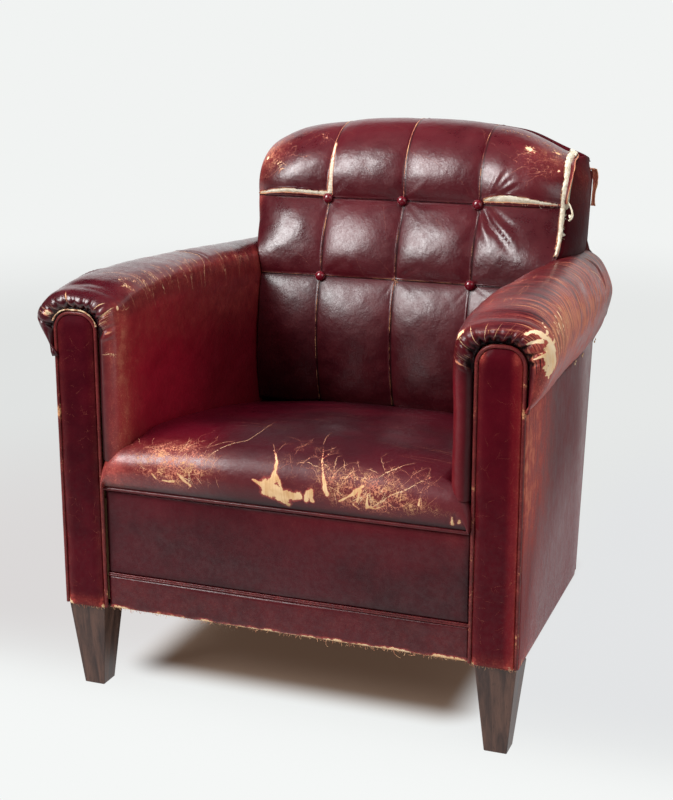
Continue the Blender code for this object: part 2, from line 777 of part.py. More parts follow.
def side_panels():
    hide = worn_leather()
    corner = 0.022
    outline = [(0.0045, bottom_z(0.0045))]
    for k in range(4):
        angle = math.pi / 2 * (k / 3 - 1)
        foot = rear_y(bottom_z(REAR_FOOT_DEPTH) + corner) - 0.0035
        outline.append((foot - corner + corner * math.cos(angle),
                        bottom_z(REAR_FOOT_DEPTH) + corner + corner * math.sin(angle)))
    outline.append((REAR_KNEE[0] - 0.0045, ARM_SEAM_REAR - 0.0015))
    for side, sign in (("left", -1), ("right", 1)):
        edge = outline + [(0.0045, ARM_SEAM_FRONT[side] - 0.0015)]
        points = [(sign * side_x(y), y, z) for y, z in edge]
        points += [(sign * (side_x(y) - LEATHER), y, z) for y, z in edge]
        count = len(edge)
        faces = [tuple(range(count)), tuple(range(2 * count - 1, count - 1, -1))]
        faces += [(k, (k + 1) % count, (k + 1) % count + count, k + count) for k in range(count)]
        add_mesh(f"side_panel_{side}", points, faces, hide)


# Back -------------------------------------------------------------------------------------------

PAD_STEPS = (0.0, 0.065, 0.23, 0.50, 0.77, 0.935)
LOW_PAD_STEPS = (0.0, 0.30, 0.64, 0.86, 0.965)
TOP_PAD_STEPS = (0.0, 0.05, 0.17, 0.34, 0.52, 0.70, 0.86, 1.0)
CREST_TURN = math.radians(100)  # how far the top pads turn over the crest
EDGE_TURN = 0.022               # how far the panel's side edges stand behind its middle


def across_pads(half_width):
    """Places across the back: the seam-to-seam fractions of four pads, as x, fraction and outer pad."""
    right = []
    for f in PAD_STEPS:
        right.append((PAD_WIDTH * f, f, False))
    for f in PAD_STEPS + (1.0,):
        right.append((blend(PAD_WIDTH, half_width, f), f, True))
    left = [(-x, f, outer) for x, f, outer in right[:0:-1]]
    return left + right


def full(f):
    """How full a pad is across its width: steep at its seams and flat in its middle."""
    return math.sin(math.pi * min(max(f, 0.0), 1.0)) ** 0.5


def back_rows():
    """Each row up the back as (height, kind, fraction of its pad)."""
    rows = [(blend(BACK_BOTTOM, TUFT_ROWS[0], f), "low", f) for f in LOW_PAD_STEPS]
    rows += [(blend(*TUFT_ROWS, f), "middle", f) for f in PAD_STEPS]
    rows += [(TUFT_ROWS[1], "top", f) for f in TOP_PAD_STEPS]
    return rows


def back_point(x, height, kind, f, outer):
    """A point of the back's panel before its pads swell."""
    edge = EDGE_TURN * outer ** 4
    hollow = 0.012 * (x / 0.25) ** 2
    if kind != "top":
        return Vector((x, linear(BACK_PLANE, height) - hollow + edge, height))
    turn = CREST_TURN * f
    start = BACK_PLANE[-1][1] - hollow + edge
    reach = (1 - math.cos(turn)) / (1 - math.cos(CREST_TURN))
    z = height + (linear(CREST, abs(x)) - height) * math.sin(turn)
    return Vector((x, blend(start, CREST_DEPTH, reach), z))


def back_surface():
    rows = back_rows()
    base = []
    swell = []
    for height, kind, f in rows:
        line = []
        amounts = []
        half_width = linear(BACK_HALF_WIDTH, height + (0.06 * f if kind == "top" else 0.0))
        for x, across, outer in across_pads(half_width):
            line.append(back_point(x, height, kind, f, across if outer else 0.0))
            up = {"low": full(0.30 + 0.70 * f), "middle": full(f), "top": full(f) * (1 - 0.65 * f)}[kind]
            amounts.append(PAD_FULLNESS * full(across) * up * (0.75 if outer else 1.0))
        base.append(line)
        swell.append(amounts)
    return offset_grid(base, lambda i, j: -swell[i][j])


def inside_back():
    outer = back_surface()
    slab("back_cover", outer, offset_grid(outer, LEATHER), leather())
    top = offset_grid(outer, LEATHER + 2 * GAP)
    rows = len(outer)
    core = []
    for i in range(rows):
        z = blend(BACK_BOTTOM + 0.002, 0.795, i / (rows - 1))
        y = rear_y(z) - POST_DEPTH - 0.0115
        limit = 0.93 * min(abs(outer[i][0].x), 0.262)
        columns = len(outer[i])
        core.append([Vector((blend(-limit, limit, j / (columns - 1)), y, z)) for j in range(columns)])
    slab("back_stuffing", top, core, wadding())
    canvas = []
    for z in (0.375, REAR_KNEE[1], POST_TOP):
        canvas.append([Vector((x, rear_y(z) - POST_DEPTH - 0.0080, z)) for x in (-0.254, 0.254)])
    behind = [[point + Vector((0.0, 0.0015, 0.0)) for point in row] for row in canvas]
    slab("back_canvas", canvas, behind, hessian())
    return outer


def border_stations(panel):
    """Places along the boxed edge of the back: up one side, over the crest and down the other."""
    edge = []
    rows = back_rows()
    for i, (height, kind, _) in enumerate(rows):
        if kind == "top" or height > BORDER_BOTTOM:
            edge.append((panel[i][-1], "side"))
    low = panel[[height > BORDER_BOTTOM for height, _, _ in rows].index(True) - 1][-1]
    first = edge[0][0]
    start = low.lerp(first, (BORDER_BOTTOM - low.z) / (first.z - low.z))
    right = [(start, "side")] + edge[:-1]
    crest = [(point, "crest") for point in panel[-1][::-2]]
    left = [(Vector((-point.x, point.y, point.z)), kind) for point, kind in right[::-1]]
    return right + crest + left


def back_border(panel):
    """The boxing strip between the inside and the outside back."""
    outer = []
    for point, kind in border_stations(panel):
        sign = 1 if point.x >= 0 else -1
        if kind == "side":
            front = point + Vector((sign * 0.001, 0.0036, 0.0))
            rise = max(0.0, min(1.0, (point.z - 0.77) / 0.046))
            rear_z = point.z - 0.014 * rise
            rear = Vector((sign * (0.2985 - 0.006 * rise), rear_y(rear_z) - 0.0036, rear_z))
            out = Vector((sign * blend(0.019, 0.012, rise), 0.0, 0.006 * rise))
        else:
            front = point + Vector((0.0, 0.0036, 0.0))
            rear_z = linear(CREST, abs(point.x)) - 0.013
            rear = Vector((point.x * 1.03, rear_y(rear_z) - 0.0036, rear_z))
            out = Vector((sign * 0.010 * (abs(point.x) / 0.284) ** 4, 0.0, 0.005))
        line = []
        for f in (0.0, 0.2, 0.5, 0.8, 1.0):
            line.append(front.lerp(rear, f) + out * (1 - (2 * f - 1) ** 2))
        outer.append(line)
    slab("back_border", outer, offset_grid(outer, -LEATHER), leather())


OUTSIDE_BACK_EDGE = ((0.078, 0.0), (0.20, 0.0), (0.35, 0.0), (0.486, 0.0), (0.505, 0.010), (0.530, 0.022),
                     (0.565, 0.029), (0.590, 0.025), (0.615, 0.010), (0.632, -0.005), (0.644, -0.017),
                     (0.652, -0.0215), (0.70, -0.0205), (0.77, -0.0190))


def outside_back():
    """The rear panel, whose edge follows the sides, the arm rolls and the crest."""
    spread = (-1.0, -0.85, -0.6, -0.3, 0.0, 0.3, 0.6, 0.85, 1.0)
    outer = []
    for z, out in OUTSIDE_BACK_EDGE:
        half = side_x(rear_y(z)) + out
        outer.append([Vector((half * u, rear_y(z), z)) for u in spread])
    start = OUTSIDE_BACK_EDGE[-1][0]
    for f in (0.5, 1.0):
        line = []
        for u in spread:
            x = half * u
            z = blend(start, linear(CREST, abs(x)) - 0.012, f)
            line.append(Vector((x, rear_y(z), z)))
        outer.append(line)
    inner = [[point - Vector((0.0, LEATHER, 0.0)) for point in row] for row in outer]
    slab("outside_back", outer, inner, worn_leather())


def buttons():
    look = leather()
    number = 0
    for row, height in enumerate(TUFT_ROWS):
        for column in (-1, 0, 1):
            if (row, column) == MISSING_BUTTON:
                continue
            number += 1
            x = column * PAD_WIDTH
            seat_point = back_point(x, height, "middle", 1.0, 0.0)
            mesh = bpy.data.meshes.new(f"button_{number}")
            work = bmesh.new()
            bmesh.ops.create_uvsphere(work, u_segments=12, v_segments=6, radius=BUTTON_RADIUS)
            squash = BUTTON_HEIGHT / BUTTON_RADIUS
            for vertex in work.verts:
                vertex.co = Vector((vertex.co.x, -vertex.co.z * squash, vertex.co.y))
            work.to_mesh(mesh)
            work.free()
            mesh.shade_smooth()
            mesh.materials.append(look)
            obj = bpy.data.objects.new(f"button_{number}", mesh)
            bpy.context.collection.objects.link(obj)
            obj.parent = chair
            obj.location = seat_point - Vector((0.0, BUTTON_HEIGHT + 0.0035, 0.0))


def loose_welt():
    """A strip of torn edge leather that hangs from the crest's right rear corner."""
    points = [(0.3060, 0.7500, 0.8010), (0.3150, 0.7520, 0.8000), (0.3190, 0.7530, 0.7900),
              (0.3175, 0.7540, 0.7700), (0.3155, 0.7545, 0.7520), (0.3160, 0.7540, 0.7420)]
    cord("loose_welt_strip", points, 0.0026, worn_leather())


def dust_cover():
    front = FRONT_RAIL_DEPTH[0]
    rear = 0.593
    ends = []
    for y in (front, rear):
        x = side_x(y) - 0.006
        z = bottom_z(y) + 0.0020
        ends.append([(-x, y, z), (x, y, z), (x, y, z + 0.0012), (-x, y, z + 0.0012)])
    block("dust_cover", ends[0], ends[1], black_cloth())


def build():
    beech = frame_wood()
    legs()
    front_rail(beech)
    side_rails(beech)
    rear_rails(beech)
    back_posts(beech)
    back_top_rail(beech)
    arm_frame(beech)
    webbing()
    seat_springs()
    spring_canvas()
    seat()
    apron()
    arms()
    arm_panels()
    side_panels()
    back_border(inside_back())
    outside_back()
    buttons()
    loose_welt()
    dust_cover()


clear_scene()
chair = bpy.data.objects.new("chair", None)
bpy.context.collection.objects.link(chair)
chair.location = (0.0, -DEPTH_TO_CENTRE, 0.0)
build()
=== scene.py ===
import math

import bmesh
import bpy
import numpy as np
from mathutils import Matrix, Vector

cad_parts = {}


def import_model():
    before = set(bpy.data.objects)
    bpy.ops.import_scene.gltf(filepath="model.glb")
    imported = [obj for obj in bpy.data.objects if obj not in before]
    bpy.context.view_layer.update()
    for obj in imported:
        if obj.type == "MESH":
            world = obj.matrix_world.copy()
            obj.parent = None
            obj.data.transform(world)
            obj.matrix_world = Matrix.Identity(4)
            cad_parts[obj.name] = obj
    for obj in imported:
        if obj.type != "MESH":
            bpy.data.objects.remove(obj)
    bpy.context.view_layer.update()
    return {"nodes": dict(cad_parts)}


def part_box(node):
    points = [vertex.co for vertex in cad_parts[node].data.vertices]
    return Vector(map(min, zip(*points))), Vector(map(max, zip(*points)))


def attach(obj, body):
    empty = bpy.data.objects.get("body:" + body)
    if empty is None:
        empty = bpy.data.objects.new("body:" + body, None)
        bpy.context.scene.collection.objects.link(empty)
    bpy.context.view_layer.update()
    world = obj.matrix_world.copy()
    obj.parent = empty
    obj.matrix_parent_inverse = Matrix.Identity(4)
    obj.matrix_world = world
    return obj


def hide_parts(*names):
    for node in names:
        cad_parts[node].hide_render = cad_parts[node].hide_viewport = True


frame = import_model()
nodes = frame["nodes"]

# depth is counted from the front face of the arms; the body taper and rake are the frame's own
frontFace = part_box("front_rail")[0].y - 0.0130
body = {
    "frontHalfWidth": 0.370,
    "sideTaper": 0.067,
    "bottomFront": 0.144,
    "bottomSlope": 0.12,
    "rearFootDepth": 0.600,
    "rearKnee": (0.706, 0.486),
    "rearTop": (0.763, 0.850),
    "leather": 0.0025,
    "gap": 0.0006,
}
hands = {"left": -1, "right": 1}  # the x side of each arm


def easeStep(low, high, x):
    t = np.clip((np.asarray(x, float) - low) / (high - low), 0.0, 1.0)
    return t * t * (3 - 2 * t)


def bump(x, centre, width):
    return np.exp(-((np.asarray(x, float) - centre) / width) ** 2)


def mixed(a, b, f):
    return a + (b - a) * f


def softTable(table, x):
    # a smooth curve through the pairs, level beyond its ends
    pairs = np.asarray(table, float)
    px, pv = pairs[:, 0], pairs[:, 1]
    slope = np.gradient(pv, px)
    x = np.clip(np.asarray(x, float), px[0], px[-1])
    i = np.clip(np.searchsorted(px, x, side="right") - 1, 0, len(px) - 2)
    h = px[i + 1] - px[i]
    t = (x - px[i]) / h
    a = (1 + 2 * t) * (1 - t) ** 2
    b = t * (1 - t) ** 2
    c = t * t * (3 - 2 * t)
    d = t * t * (t - 1)
    return a * pv[i] + b * h * slope[i] + c * pv[i + 1] + d * h * slope[i + 1]


def alongKeys(keys, s):
    # smooth curve through keys (..., count, k), read at s = 0 .. count - 1
    count = keys.shape[-2]
    s = np.clip(s, 0, count - 1)
    i = np.clip(np.floor(s).astype(int), 0, count - 2)
    f = (s - i)[..., None]

    def pick(j):
        j = np.clip(j, 0, count - 1)
        return np.take_along_axis(keys, np.broadcast_to(j[..., None, None], j.shape + (1, keys.shape[-1])),
                                  axis=-2)[..., 0, :]

    a, b, c, d = pick(i - 1), pick(i), pick(i + 1), pick(i + 2)
    m0 = (c - a) / 2
    m1 = (d - b) / 2
    return b + m0 * f + (3 * (c - b) - 2 * m0 - m1) * f ** 2 + (2 * (b - c) + m0 + m1) * f ** 3


lattice = np.random.RandomState(4).rand(32, 32, 32)


def softNoise(points, scale):
    # value noise, -1 .. 1, smooth between lattice points
    p = np.asarray(points, float) * scale
    cell = np.floor(p).astype(int)
    f = p - cell
    f = f * f * (3 - 2 * f)
    total = 0.0
    for dx in (0, 1):
        for dy in (0, 1):
            for dz in (0, 1):
                weight = (np.where(dx, f[..., 0], 1 - f[..., 0]) * np.where(dy, f[..., 1], 1 - f[..., 1])
                          * np.where(dz, f[..., 2], 1 - f[..., 2]))
                total = total + weight * lattice[(cell[..., 0] + dx) % 32, (cell[..., 1] + dy) % 32,
                                                 (cell[..., 2] + dz) % 32]
    return 2 * total - 1


def sideX(depth):
    return body["frontHalfWidth"] - body["sideTaper"] * depth


def bottomZ(depth):
    return body["bottomFront"] - body["bottomSlope"] * depth


def rearDepth(z):
    footDepth = body["rearFootDepth"]
    footZ = bottomZ(footDepth)
    kneeDepth, kneeZ = body["rearKnee"]
    topDepth, topZ = body["rearTop"]
    z = np.asarray(z, float)
    low = mixed(footDepth, kneeDepth, (z - footZ) / (kneeZ - footZ))
    high = mixed(kneeDepth, topDepth, (z - kneeZ) / (topZ - kneeZ))
    return np.where(z < kneeZ, low, high)


def gridNormals(grid):
    along = np.gradient(grid, axis=0)
    across = np.gradient(grid, axis=1)
    normal = np.cross(along, across)
    return normal / np.maximum(np.linalg.norm(normal, axis=-1, keepdims=True), 1e-12)


def stepsFor(length, spacing, multiple=4):
    return max(1, round(length / spacing / multiple)) * multiple


def world(points):
    # from depth to the frame's y
    points = np.array(points, float)
    points[..., 1] += frontFace
    return points


def newObject(name, data):
    obj = bpy.data.objects.new(name, data)
    bpy.context.collection.objects.link(obj)
    return obj


def newMesh(name, points, faces, look=None, edges=()):
    mesh = bpy.data.meshes.new(name)
    mesh.from_pydata(np.asarray(points, float).tolist(), list(edges), faces)
    mesh.shade_smooth()
    if look:
        mesh.materials.append(look)
    return newObject(name, mesh)


def setMark(mesh, name, values):
    layer = mesh.attributes.new(name, "FLOAT", "POINT")
    layer.data.foreach_set("value", np.asarray(values, np.float32).ravel())


def setMap(mesh, flat):
    # flat: a pair of metres for each vertex, kept as the UV map "cut"
    layer = mesh.uv_layers.new(name="cut")
    index = np.empty(len(mesh.loops), np.int32)
    mesh.loops.foreach_get("vertex_index", index)
    layer.data.foreach_set("uv", np.asarray(flat, np.float32)[index].ravel())


def closedSheet(name, grid, flat, marks, look, thickness=body["leather"], lining=None, outward=-1, hand=1):
    # a closed skin: fine outside, a coarser lining behind it, and a rim between the two
    every = 4  # outer faces to one of the lining
    rows, columns = grid.shape[:2]
    grid = grid * (hand, 1, 1)
    outward = outward * hand
    if lining is None:
        lining = grid - gridNormals(grid) * outward * thickness
    else:
        lining = lining * (hand, 1, 1)
    inner = lining[::every, ::every]
    innerRows, innerColumns = inner.shape[:2]
    index = np.arange(rows * columns).reshape(rows, columns)
    innerIndex = np.arange(innerRows * innerColumns).reshape(innerRows, innerColumns) + rows * columns

    def quads(table, flip):
        a, b, c, d = table[:-1, :-1], table[:-1, 1:], table[1:, 1:], table[1:, :-1]
        order = (a, b, c, d) if flip else (a, d, c, b)
        return np.stack([part.ravel() for part in order], axis=1).tolist()

    faces = quads(index, outward < 0) + quads(innerIndex, outward > 0)

    def rim(fine, coarse, flip):
        for k in range(len(coarse) - 1):
            run = fine[k * every:(k + 1) * every + 1].tolist()
            face = run + [int(coarse[k + 1]), int(coarse[k])]
            faces.append(face[::-1] if flip else face)

    rim(index[0], innerIndex[0], outward < 0)
    rim(index[-1], innerIndex[-1], outward > 0)
    rim(index[:, 0], innerIndex[:, 0], outward > 0)
    rim(index[:, -1], innerIndex[:, -1], outward < 0)
    points = np.concatenate([grid.reshape(-1, 3), inner.reshape(-1, 3)])
    obj = newMesh(name, world(points), faces, look)
    flatInner = flat[::every, ::every]
    setMap(obj.data, np.concatenate([flat.reshape(-1, 2), flatInner.reshape(-1, 2)]))
    for mark, values in marks.items():
        values = np.broadcast_to(values, (rows, columns))
        setMark(obj.data, mark, np.concatenate([values.ravel(), values[::every, ::every].ravel()]))
    return obj


def settle(obj, slot, *replaced):
    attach(obj, "root")
    if replaced:
        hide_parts(*replaced)


# a socket that takes arithmetic; plain numbers may stand on either side
class Value:
    def __init__(self, book, socket):
        self.book = book
        self.socket = socket

    def maths(self, kind, a, b):
        return self.book.node("ShaderNodeMath", {0: a, 1: b}, operation=kind)

    def __abs__(self):
        return self.maths("ABSOLUTE", self, 0.0)

    def orMore(self, other):
        return self.maths("MAXIMUM", self, other)

    def orLess(self, other):
        return self.maths("MINIMUM", self, other)


for sign, kind in (("add", "ADD"), ("sub", "SUBTRACT"), ("mul", "MULTIPLY"),
                   ("truediv", "DIVIDE"), ("pow", "POWER")):
    setattr(Value, f"__{sign}__", lambda self, other, kind=kind: self.maths(kind, self, other))
    setattr(Value, f"__r{sign}__", lambda self, other, kind=kind: self.maths(kind, other, self))


# a node tree written from Python: settings first, then values or links
class NodeBook:
    def node(self, kind, values=None, out=0, **settings):
        made = self.tree.nodes.new(kind)
        for key, value in settings.items():
            setattr(made, key, value)
        for key, value in (values or {}).items():
            self.put(made.inputs[key], value)
        return Value(self, made.outputs[out])

    def put(self, target, value):
        if isinstance(value, Value):
            self.tree.links.new(value.socket, target)
        elif isinstance(value, (tuple, list)) and len(value) == 3 and target.type == "RGBA":
            target.default_value = (*value, 1.0)
        else:
            target.default_value = value

    def vectorMaths(self, kind, values):
        return self.node("ShaderNodeVectorMath", values, operation=kind)


# one material
class ShadeBook(NodeBook):
    def __init__(self, name):
        self.material = bpy.data.materials.new(name)
        self.material.use_nodes = True
        self.tree = self.material.node_tree
        self.shader = self.tree.nodes["Principled BSDF"]

    def set(self, **inputs):
        # shader sockets by name, with _ for a space
        for key, value in inputs.items():
            self.put(self.shader.inputs[key.replace("_", " ")], value)
        return self.material

    def place(self):
        return self.node("ShaderNodeTexCoord", out="Object")

    def cut(self):
        return self.node("ShaderNodeUVMap", uv_map="cut")

    def mark(self, name):
        return self.node("ShaderNodeAttribute", out="Fac", attribute_name=name)

    def noise(self, where, scale, detail=2.0, rough=0.5):
        return self.node("ShaderNodeTexNoise", {"Vector": where, "Scale": scale, "Detail": detail,
                                                    "Roughness": rough})

    def cells(self, where, scale, feature="F1"):
        return self.node("ShaderNodeTexVoronoi", {"Vector": where, "Scale": scale}, out="Distance",
                         feature=feature)

    def stretch(self, where, scale):
        return self.node("ShaderNodeMapping", {"Vector": where, "Scale": scale})

    def wander(self, where, scale, amount):
        # moves a position by a noise's colour, for a wandering pattern
        colour = self.node("ShaderNodeTexNoise", {"Vector": where, "Scale": scale, "Detail": 2.0},
                           out="Color")
        away = self.vectorMaths("SUBTRACT", {0: colour, 1: (0.5, 0.5, 0.5)})
        return self.vectorMaths("ADD", {0: where, 1: self.vectorMaths("SCALE", {0: away, "Scale": amount})})

    def ease(self, value, low, high):
        return self.node("ShaderNodeMapRange", {"Value": value, "From Min": low, "From Max": high},
                         interpolation_type="SMOOTHSTEP")

    def blend(self, factor, a, b):
        return self.node("ShaderNodeMix", {0: factor, 6: a, 7: b}, out=2, data_type="RGBA")

    def raised(self, height, distance, strength):
        return self.node("ShaderNodeBump", {"Height": height, "Distance": distance, "Strength": strength})


# one Geometry Nodes tree, with named inputs
class GrowBook(NodeBook):
    def __init__(self, name, inputs):
        self.tree = bpy.data.node_groups.new(name, "GeometryNodeTree")
        face = self.tree.interface
        face.new_socket("Geometry", in_out="INPUT", socket_type="NodeSocketGeometry")
        for label, (kind, value) in inputs.items():
            socket = face.new_socket(label, in_out="INPUT", socket_type=f"NodeSocket{kind}")
            if value is not None:
                socket.default_value = value
        face.new_socket("Geometry", in_out="OUTPUT", socket_type="NodeSocketGeometry")
        self.entry = self.tree.nodes.new("NodeGroupInput")
        self.exit = self.tree.nodes.new("NodeGroupOutput")

    def given(self, label):
        return Value(self, self.entry.outputs[label])

    def vector(self, x=0.0, y=0.0, z=0.0):
        return self.node("ShaderNodeCombineXYZ", {"X": x, "Y": y, "Z": z})

    def dice(self, low, high, seed, kind="FLOAT"):
        # the node keeps one set of sockets for each kind: vectors first, then numbers
        first, out = (2, 1) if kind == "FLOAT" else (0, 0)
        return self.node("FunctionNodeRandomValue", {first: low, first + 1: high, "Seed": seed}, out=out,
                         data_type=kind)

    def end(self, geometry, look):
        made = self.node("GeometryNodeRealizeInstances", {"Geometry": geometry})
        made = self.node("GeometryNodeSetShadeSmooth", {"Geometry": made})
        made = self.node("GeometryNodeSetMaterial", {"Geometry": made, "Material": look})
        self.put(self.exit.inputs["Geometry"], made)
        return self.tree


def grown(name, base, tree, **given):
    # runs a tree on a base object and keeps the result as a plain mesh
    modifier = base.modifiers.new("grow", "NODES")
    modifier.node_group = tree
    sockets = {item.name: item.identifier for item in tree.interface.items_tree if item.in_out == "INPUT"}
    for label, value in given.items():
        modifier[sockets[label.replace("_", " ")]] = value
    graph = bpy.context.evaluated_depsgraph_get()
    mesh = bpy.data.meshes.new_from_object(base.evaluated_get(graph), depsgraph=graph)
    base.modifiers.remove(modifier)
    bpy.data.objects.remove(base)
    mesh.name = name
    return newObject(name, mesh)


def pathMesh(name, runs):
    # plain edges through each run of points
    points = []
    edges = []
    for run in runs:
        start = len(points)
        points += [tuple(point) for point in run]
        edges += [(start + k, start + k + 1) for k in range(len(run) - 1)]
    return newMesh(name, world(points), [], edges=edges)


def screen(r, g, b):
    # a colour as it shows on a screen, 0 .. 255, as the linear light that shaders take
    return tuple(((c / 255 + 0.055) / 1.055) ** 2.4 if c > 10.3 else c / 255 / 12.92 for c in (r, g, b))


leatherTones = {
    "deep": screen(36, 2, 11),
    "wine": screen(64, 4, 18),
    "crimson": screen(106, 9, 27),
    "scarlet": screen(160, 20, 44),
    "rubbed": screen(170, 68, 60),
    "faded": screen(208, 124, 98),
    "tan": screen(218, 164, 116),
    "cream": screen(240, 208, 166),
    # near-black tone for painted shade in gullies, valleys and tucks
    "grime": screen(20, 6, 8),
}


def leatherLook(name, flush=0.0, dull=0.0, shine=0.62, hide=((226, 174, 122), (250, 224, 184))):
    book = ShadeBook(name)
    tones = leatherTones
    place = book.place()
    cut = book.cut()
    broad = book.noise(place, 6.0, 2.0)
    mottle = book.noise(place, 42.0, 3.0)
    speck = book.noise(place, 330.0, 2.0)
    tone = book.ease(broad * 0.8 + mottle * 0.25, 0.36, 0.70)
    colour = book.blend(tone, tones["deep"], tones["wine"])
    lively = book.mark("lively") * (0.75 + 0.5 * broad) + flush
    colour = book.blend(lively.orLess(1.0), colour, tones["crimson"])
    colour = book.blend(book.ease(lively, 1.0, 2.2), colour, tones["scarlet"])

    # fine streaks that run with the cut's v, where a hand or sleeve drags
    streak = book.mark("streak")
    dragged = book.wander(cut, 22.0, 0.005)
    threads = book.noise(book.stretch(dragged, (760.0, 13.0, 1.0)), 1.0, 2.0, 0.6)
    bands = book.noise(book.stretch(dragged, (95.0, 7.0, 1.0)), 1.0, 2.0)
    clumps = book.ease(book.noise(book.stretch(dragged, (26.0, 11.0, 1.0)), 1.0, 3.0, 0.6), 0.36, 0.62)
    pull = streak * ((threads - 0.5) * 2.4 + (bands - 0.5) * 2.2) * (0.30 + 0.95 * clumps)

    # finish rubbed thin: the orange ground shows through in a fine mottle, paler where it is worn most
    rub = (book.mark("rub") * (0.70 + 0.6 * book.ease(mottle, 0.35, 0.7)) + pull).orMore(0.0)
    colour = book.blend((rub * (0.55 + 0.45 * book.ease(speck, 0.2, 0.7))).orLess(1.0), colour,
                        tones["rubbed"])
    colour = book.blend(book.ease(rub + (speck - 0.5) * 0.4, 0.95, 2.0), colour, tones["faded"])

    # a strong drag leaves dark strands between the worn ones, and rubbed leather is flecked
    strands = book.ease(0.5 - threads * 0.6 - bands * 0.4, 0.0, 0.10)
    colour = book.blend((strands * streak * (0.3 + 0.7 * clumps)).orLess(0.75), colour, tones["deep"])
    flecks = book.ease(book.noise(place, 400.0, 4.0, 0.7), 0.54, 0.66) * rub.orLess(1.0)
    colour = book.blend(flecks * 0.55, colour, tones["faded"])

    # crazing: ragged hairline cracks in two sizes, broken up so that few run on for long
    wandering = book.wander(place, 40.0, 0.014)
    crackle = book.mark("crackle")
    coarse = abs(book.noise(wandering, 62.0, 4.0, 0.62) - 0.5)
    fine = abs(book.noise(wandering, 150.0, 3.0, 0.62) - 0.5)
    patchy = book.ease(book.noise(place, 60.0, 2.0), 0.42, 0.62)
    coarseLine = 1 - book.ease(coarse, 0.002, 0.006 + 0.016 * crackle)
    fineLine = 1 - book.ease(fine, 0.002, 0.004 + 0.014 * crackle)
    web = book.cells(book.wander(place, 95.0, 0.013), 215.0, "DISTANCE_TO_EDGE")
    webLine = (1 - book.ease(web, 0.02, 0.05 + 0.10 * crackle)) * book.ease(crackle, 0.20, 0.70)
    webLine = webLine * book.ease(book.noise(place, 95.0, 3.0, 0.65), 0.44, 0.54)
    crack = coarseLine.orMore(fineLine * 0.8) * patchy * book.ease(crackle, 0.05, 0.50)
    crack = crack.orMore(webLine)

    drag = book.ease(threads * 0.75 + bands * 0.5, 0.84 - 0.16 * streak, 0.92 - 0.14 * streak)
    drag = drag * book.ease(streak, 0.02, 0.3)

    # bare patches with ragged edges, and listed splits
    ragged = (book.noise(place, 85.0, 4.0, 0.65) - 0.5) * 1.5
    near = book.ease(book.mark("bare"), 0.02, 0.12)
    bareField = book.mark("bare") + ragged
    bare = book.ease(bareField, 0.46, 0.56) * near
    halo = book.ease(bareField, 0.10, 0.50) * near
    split = 1 - book.ease(abs(book.mark("line") + (speck - 0.5) * 0.0022), 0.0, book.mark("lineWide"))
    split = split * book.ease(book.mark("lineClose"), 0.30, 0.55) * book.ease(mottle, 0.30, 0.42)
    fold = book.ease(book.mark("fold") + (mottle - 0.5) * 0.9 + (speck - 0.5) * 0.5, 0.52, 0.72)

    # hairlines show the orange ground, wide splits the pale hide under it
    thin = crack.orMore(drag * 0.8).orMore(fold * 0.85).orLess(1.0)
    colour = book.blend(halo * 0.75, colour, tones["rubbed"])
    colour = book.blend(thin, colour, book.blend(book.ease(mottle, 0.40, 0.66), tones["faded"],
                                                 tones["tan"]))
    wide = book.ease(book.mark("lineWide"), 0.0001, 0.0007)
    splitTone = book.blend(wide, tones["faded"], book.blend(book.ease(speck, 0.3, 0.7), tones["tan"],
                                                                   tones["cream"]))
    colour = book.blend(split * (0.60 + 0.40 * wide), colour, splitTone)
    worn = thin.orMore(split)
    suede = book.blend(book.ease(mottle * 0.6 + threads * 0.4, 0.32, 0.66), screen(*hide[0]),
                       screen(*hide[1]))
    colour = book.blend(bare, colour, suede)
    # painted shade: this mark darkens seam gullies, pleat valleys, tucks and edges towards a near-black tone
    # and dulls the coat there
    grime = book.mark("grime")
    colour = book.blend((grime * (0.75 + 0.5 * mottle)).orLess(1.0), colour, tones["grime"])

    raw = bare.orMore(worn)
    matt = book.mark("matt")
    roughness = 0.33 + dull + 0.14 * (broad - 0.5) + 0.26 * (mottle - 0.5) + 0.20 * (speck - 0.5)
    thinned = book.ease(rub, 0.6, 1.8)
    roughness = roughness + rub.orLess(1.0) * 0.12 + thinned * 0.25 + matt * 0.22
    roughness = (roughness + raw * (0.85 - roughness)).orMore(0.24)
    grain = book.ease(book.noise(place, 130.0, 4.0, 0.7), 0.36, 0.64)
    coat = (0.42 - dull) * (1 - raw) * (1 - thinned * 0.8) * (1 - grime * 0.6) * (1 - matt).orMore(0.0)
    coat = coat * (0.55 + 0.85 * grain)
    pebbles = book.cells(place, 620.0)
    creases = book.noise(place, 190.0, 2.0)
    ripples = book.noise(place, 85.0, 3.0, 0.55)
    waves = book.noise(place, 30.0, 3.0, 0.55)
    height = pebbles * 0.3 + creases * 1.2 + ripples * 2.0 + waves * 4.0
    return book.set(Base_Color=colour, Roughness=roughness, Coat_Weight=coat, Coat_Roughness=0.24,
                    Specular_IOR_Level=shine, Normal=book.raised(height, 0.0004, 0.60))


def waddingLook():
    book = ShadeBook("cottonWadding")
    place = book.place()
    tufts = book.noise(book.wander(place, 120.0, 0.01), 190.0, 5.0, 0.7)
    soil = book.noise(place, 30.0, 3.0)
    colour = book.blend(book.ease(tufts, 0.3, 0.7), screen(206, 192, 164), screen(240, 232, 214))
    colour = book.blend(book.ease(soil, 0.55, 0.8) * 0.3, colour, screen(170, 138, 104))
    return book.set(Base_Color=colour, Roughness=0.95, Normal=book.raised(tufts, 0.0015, 0.5))


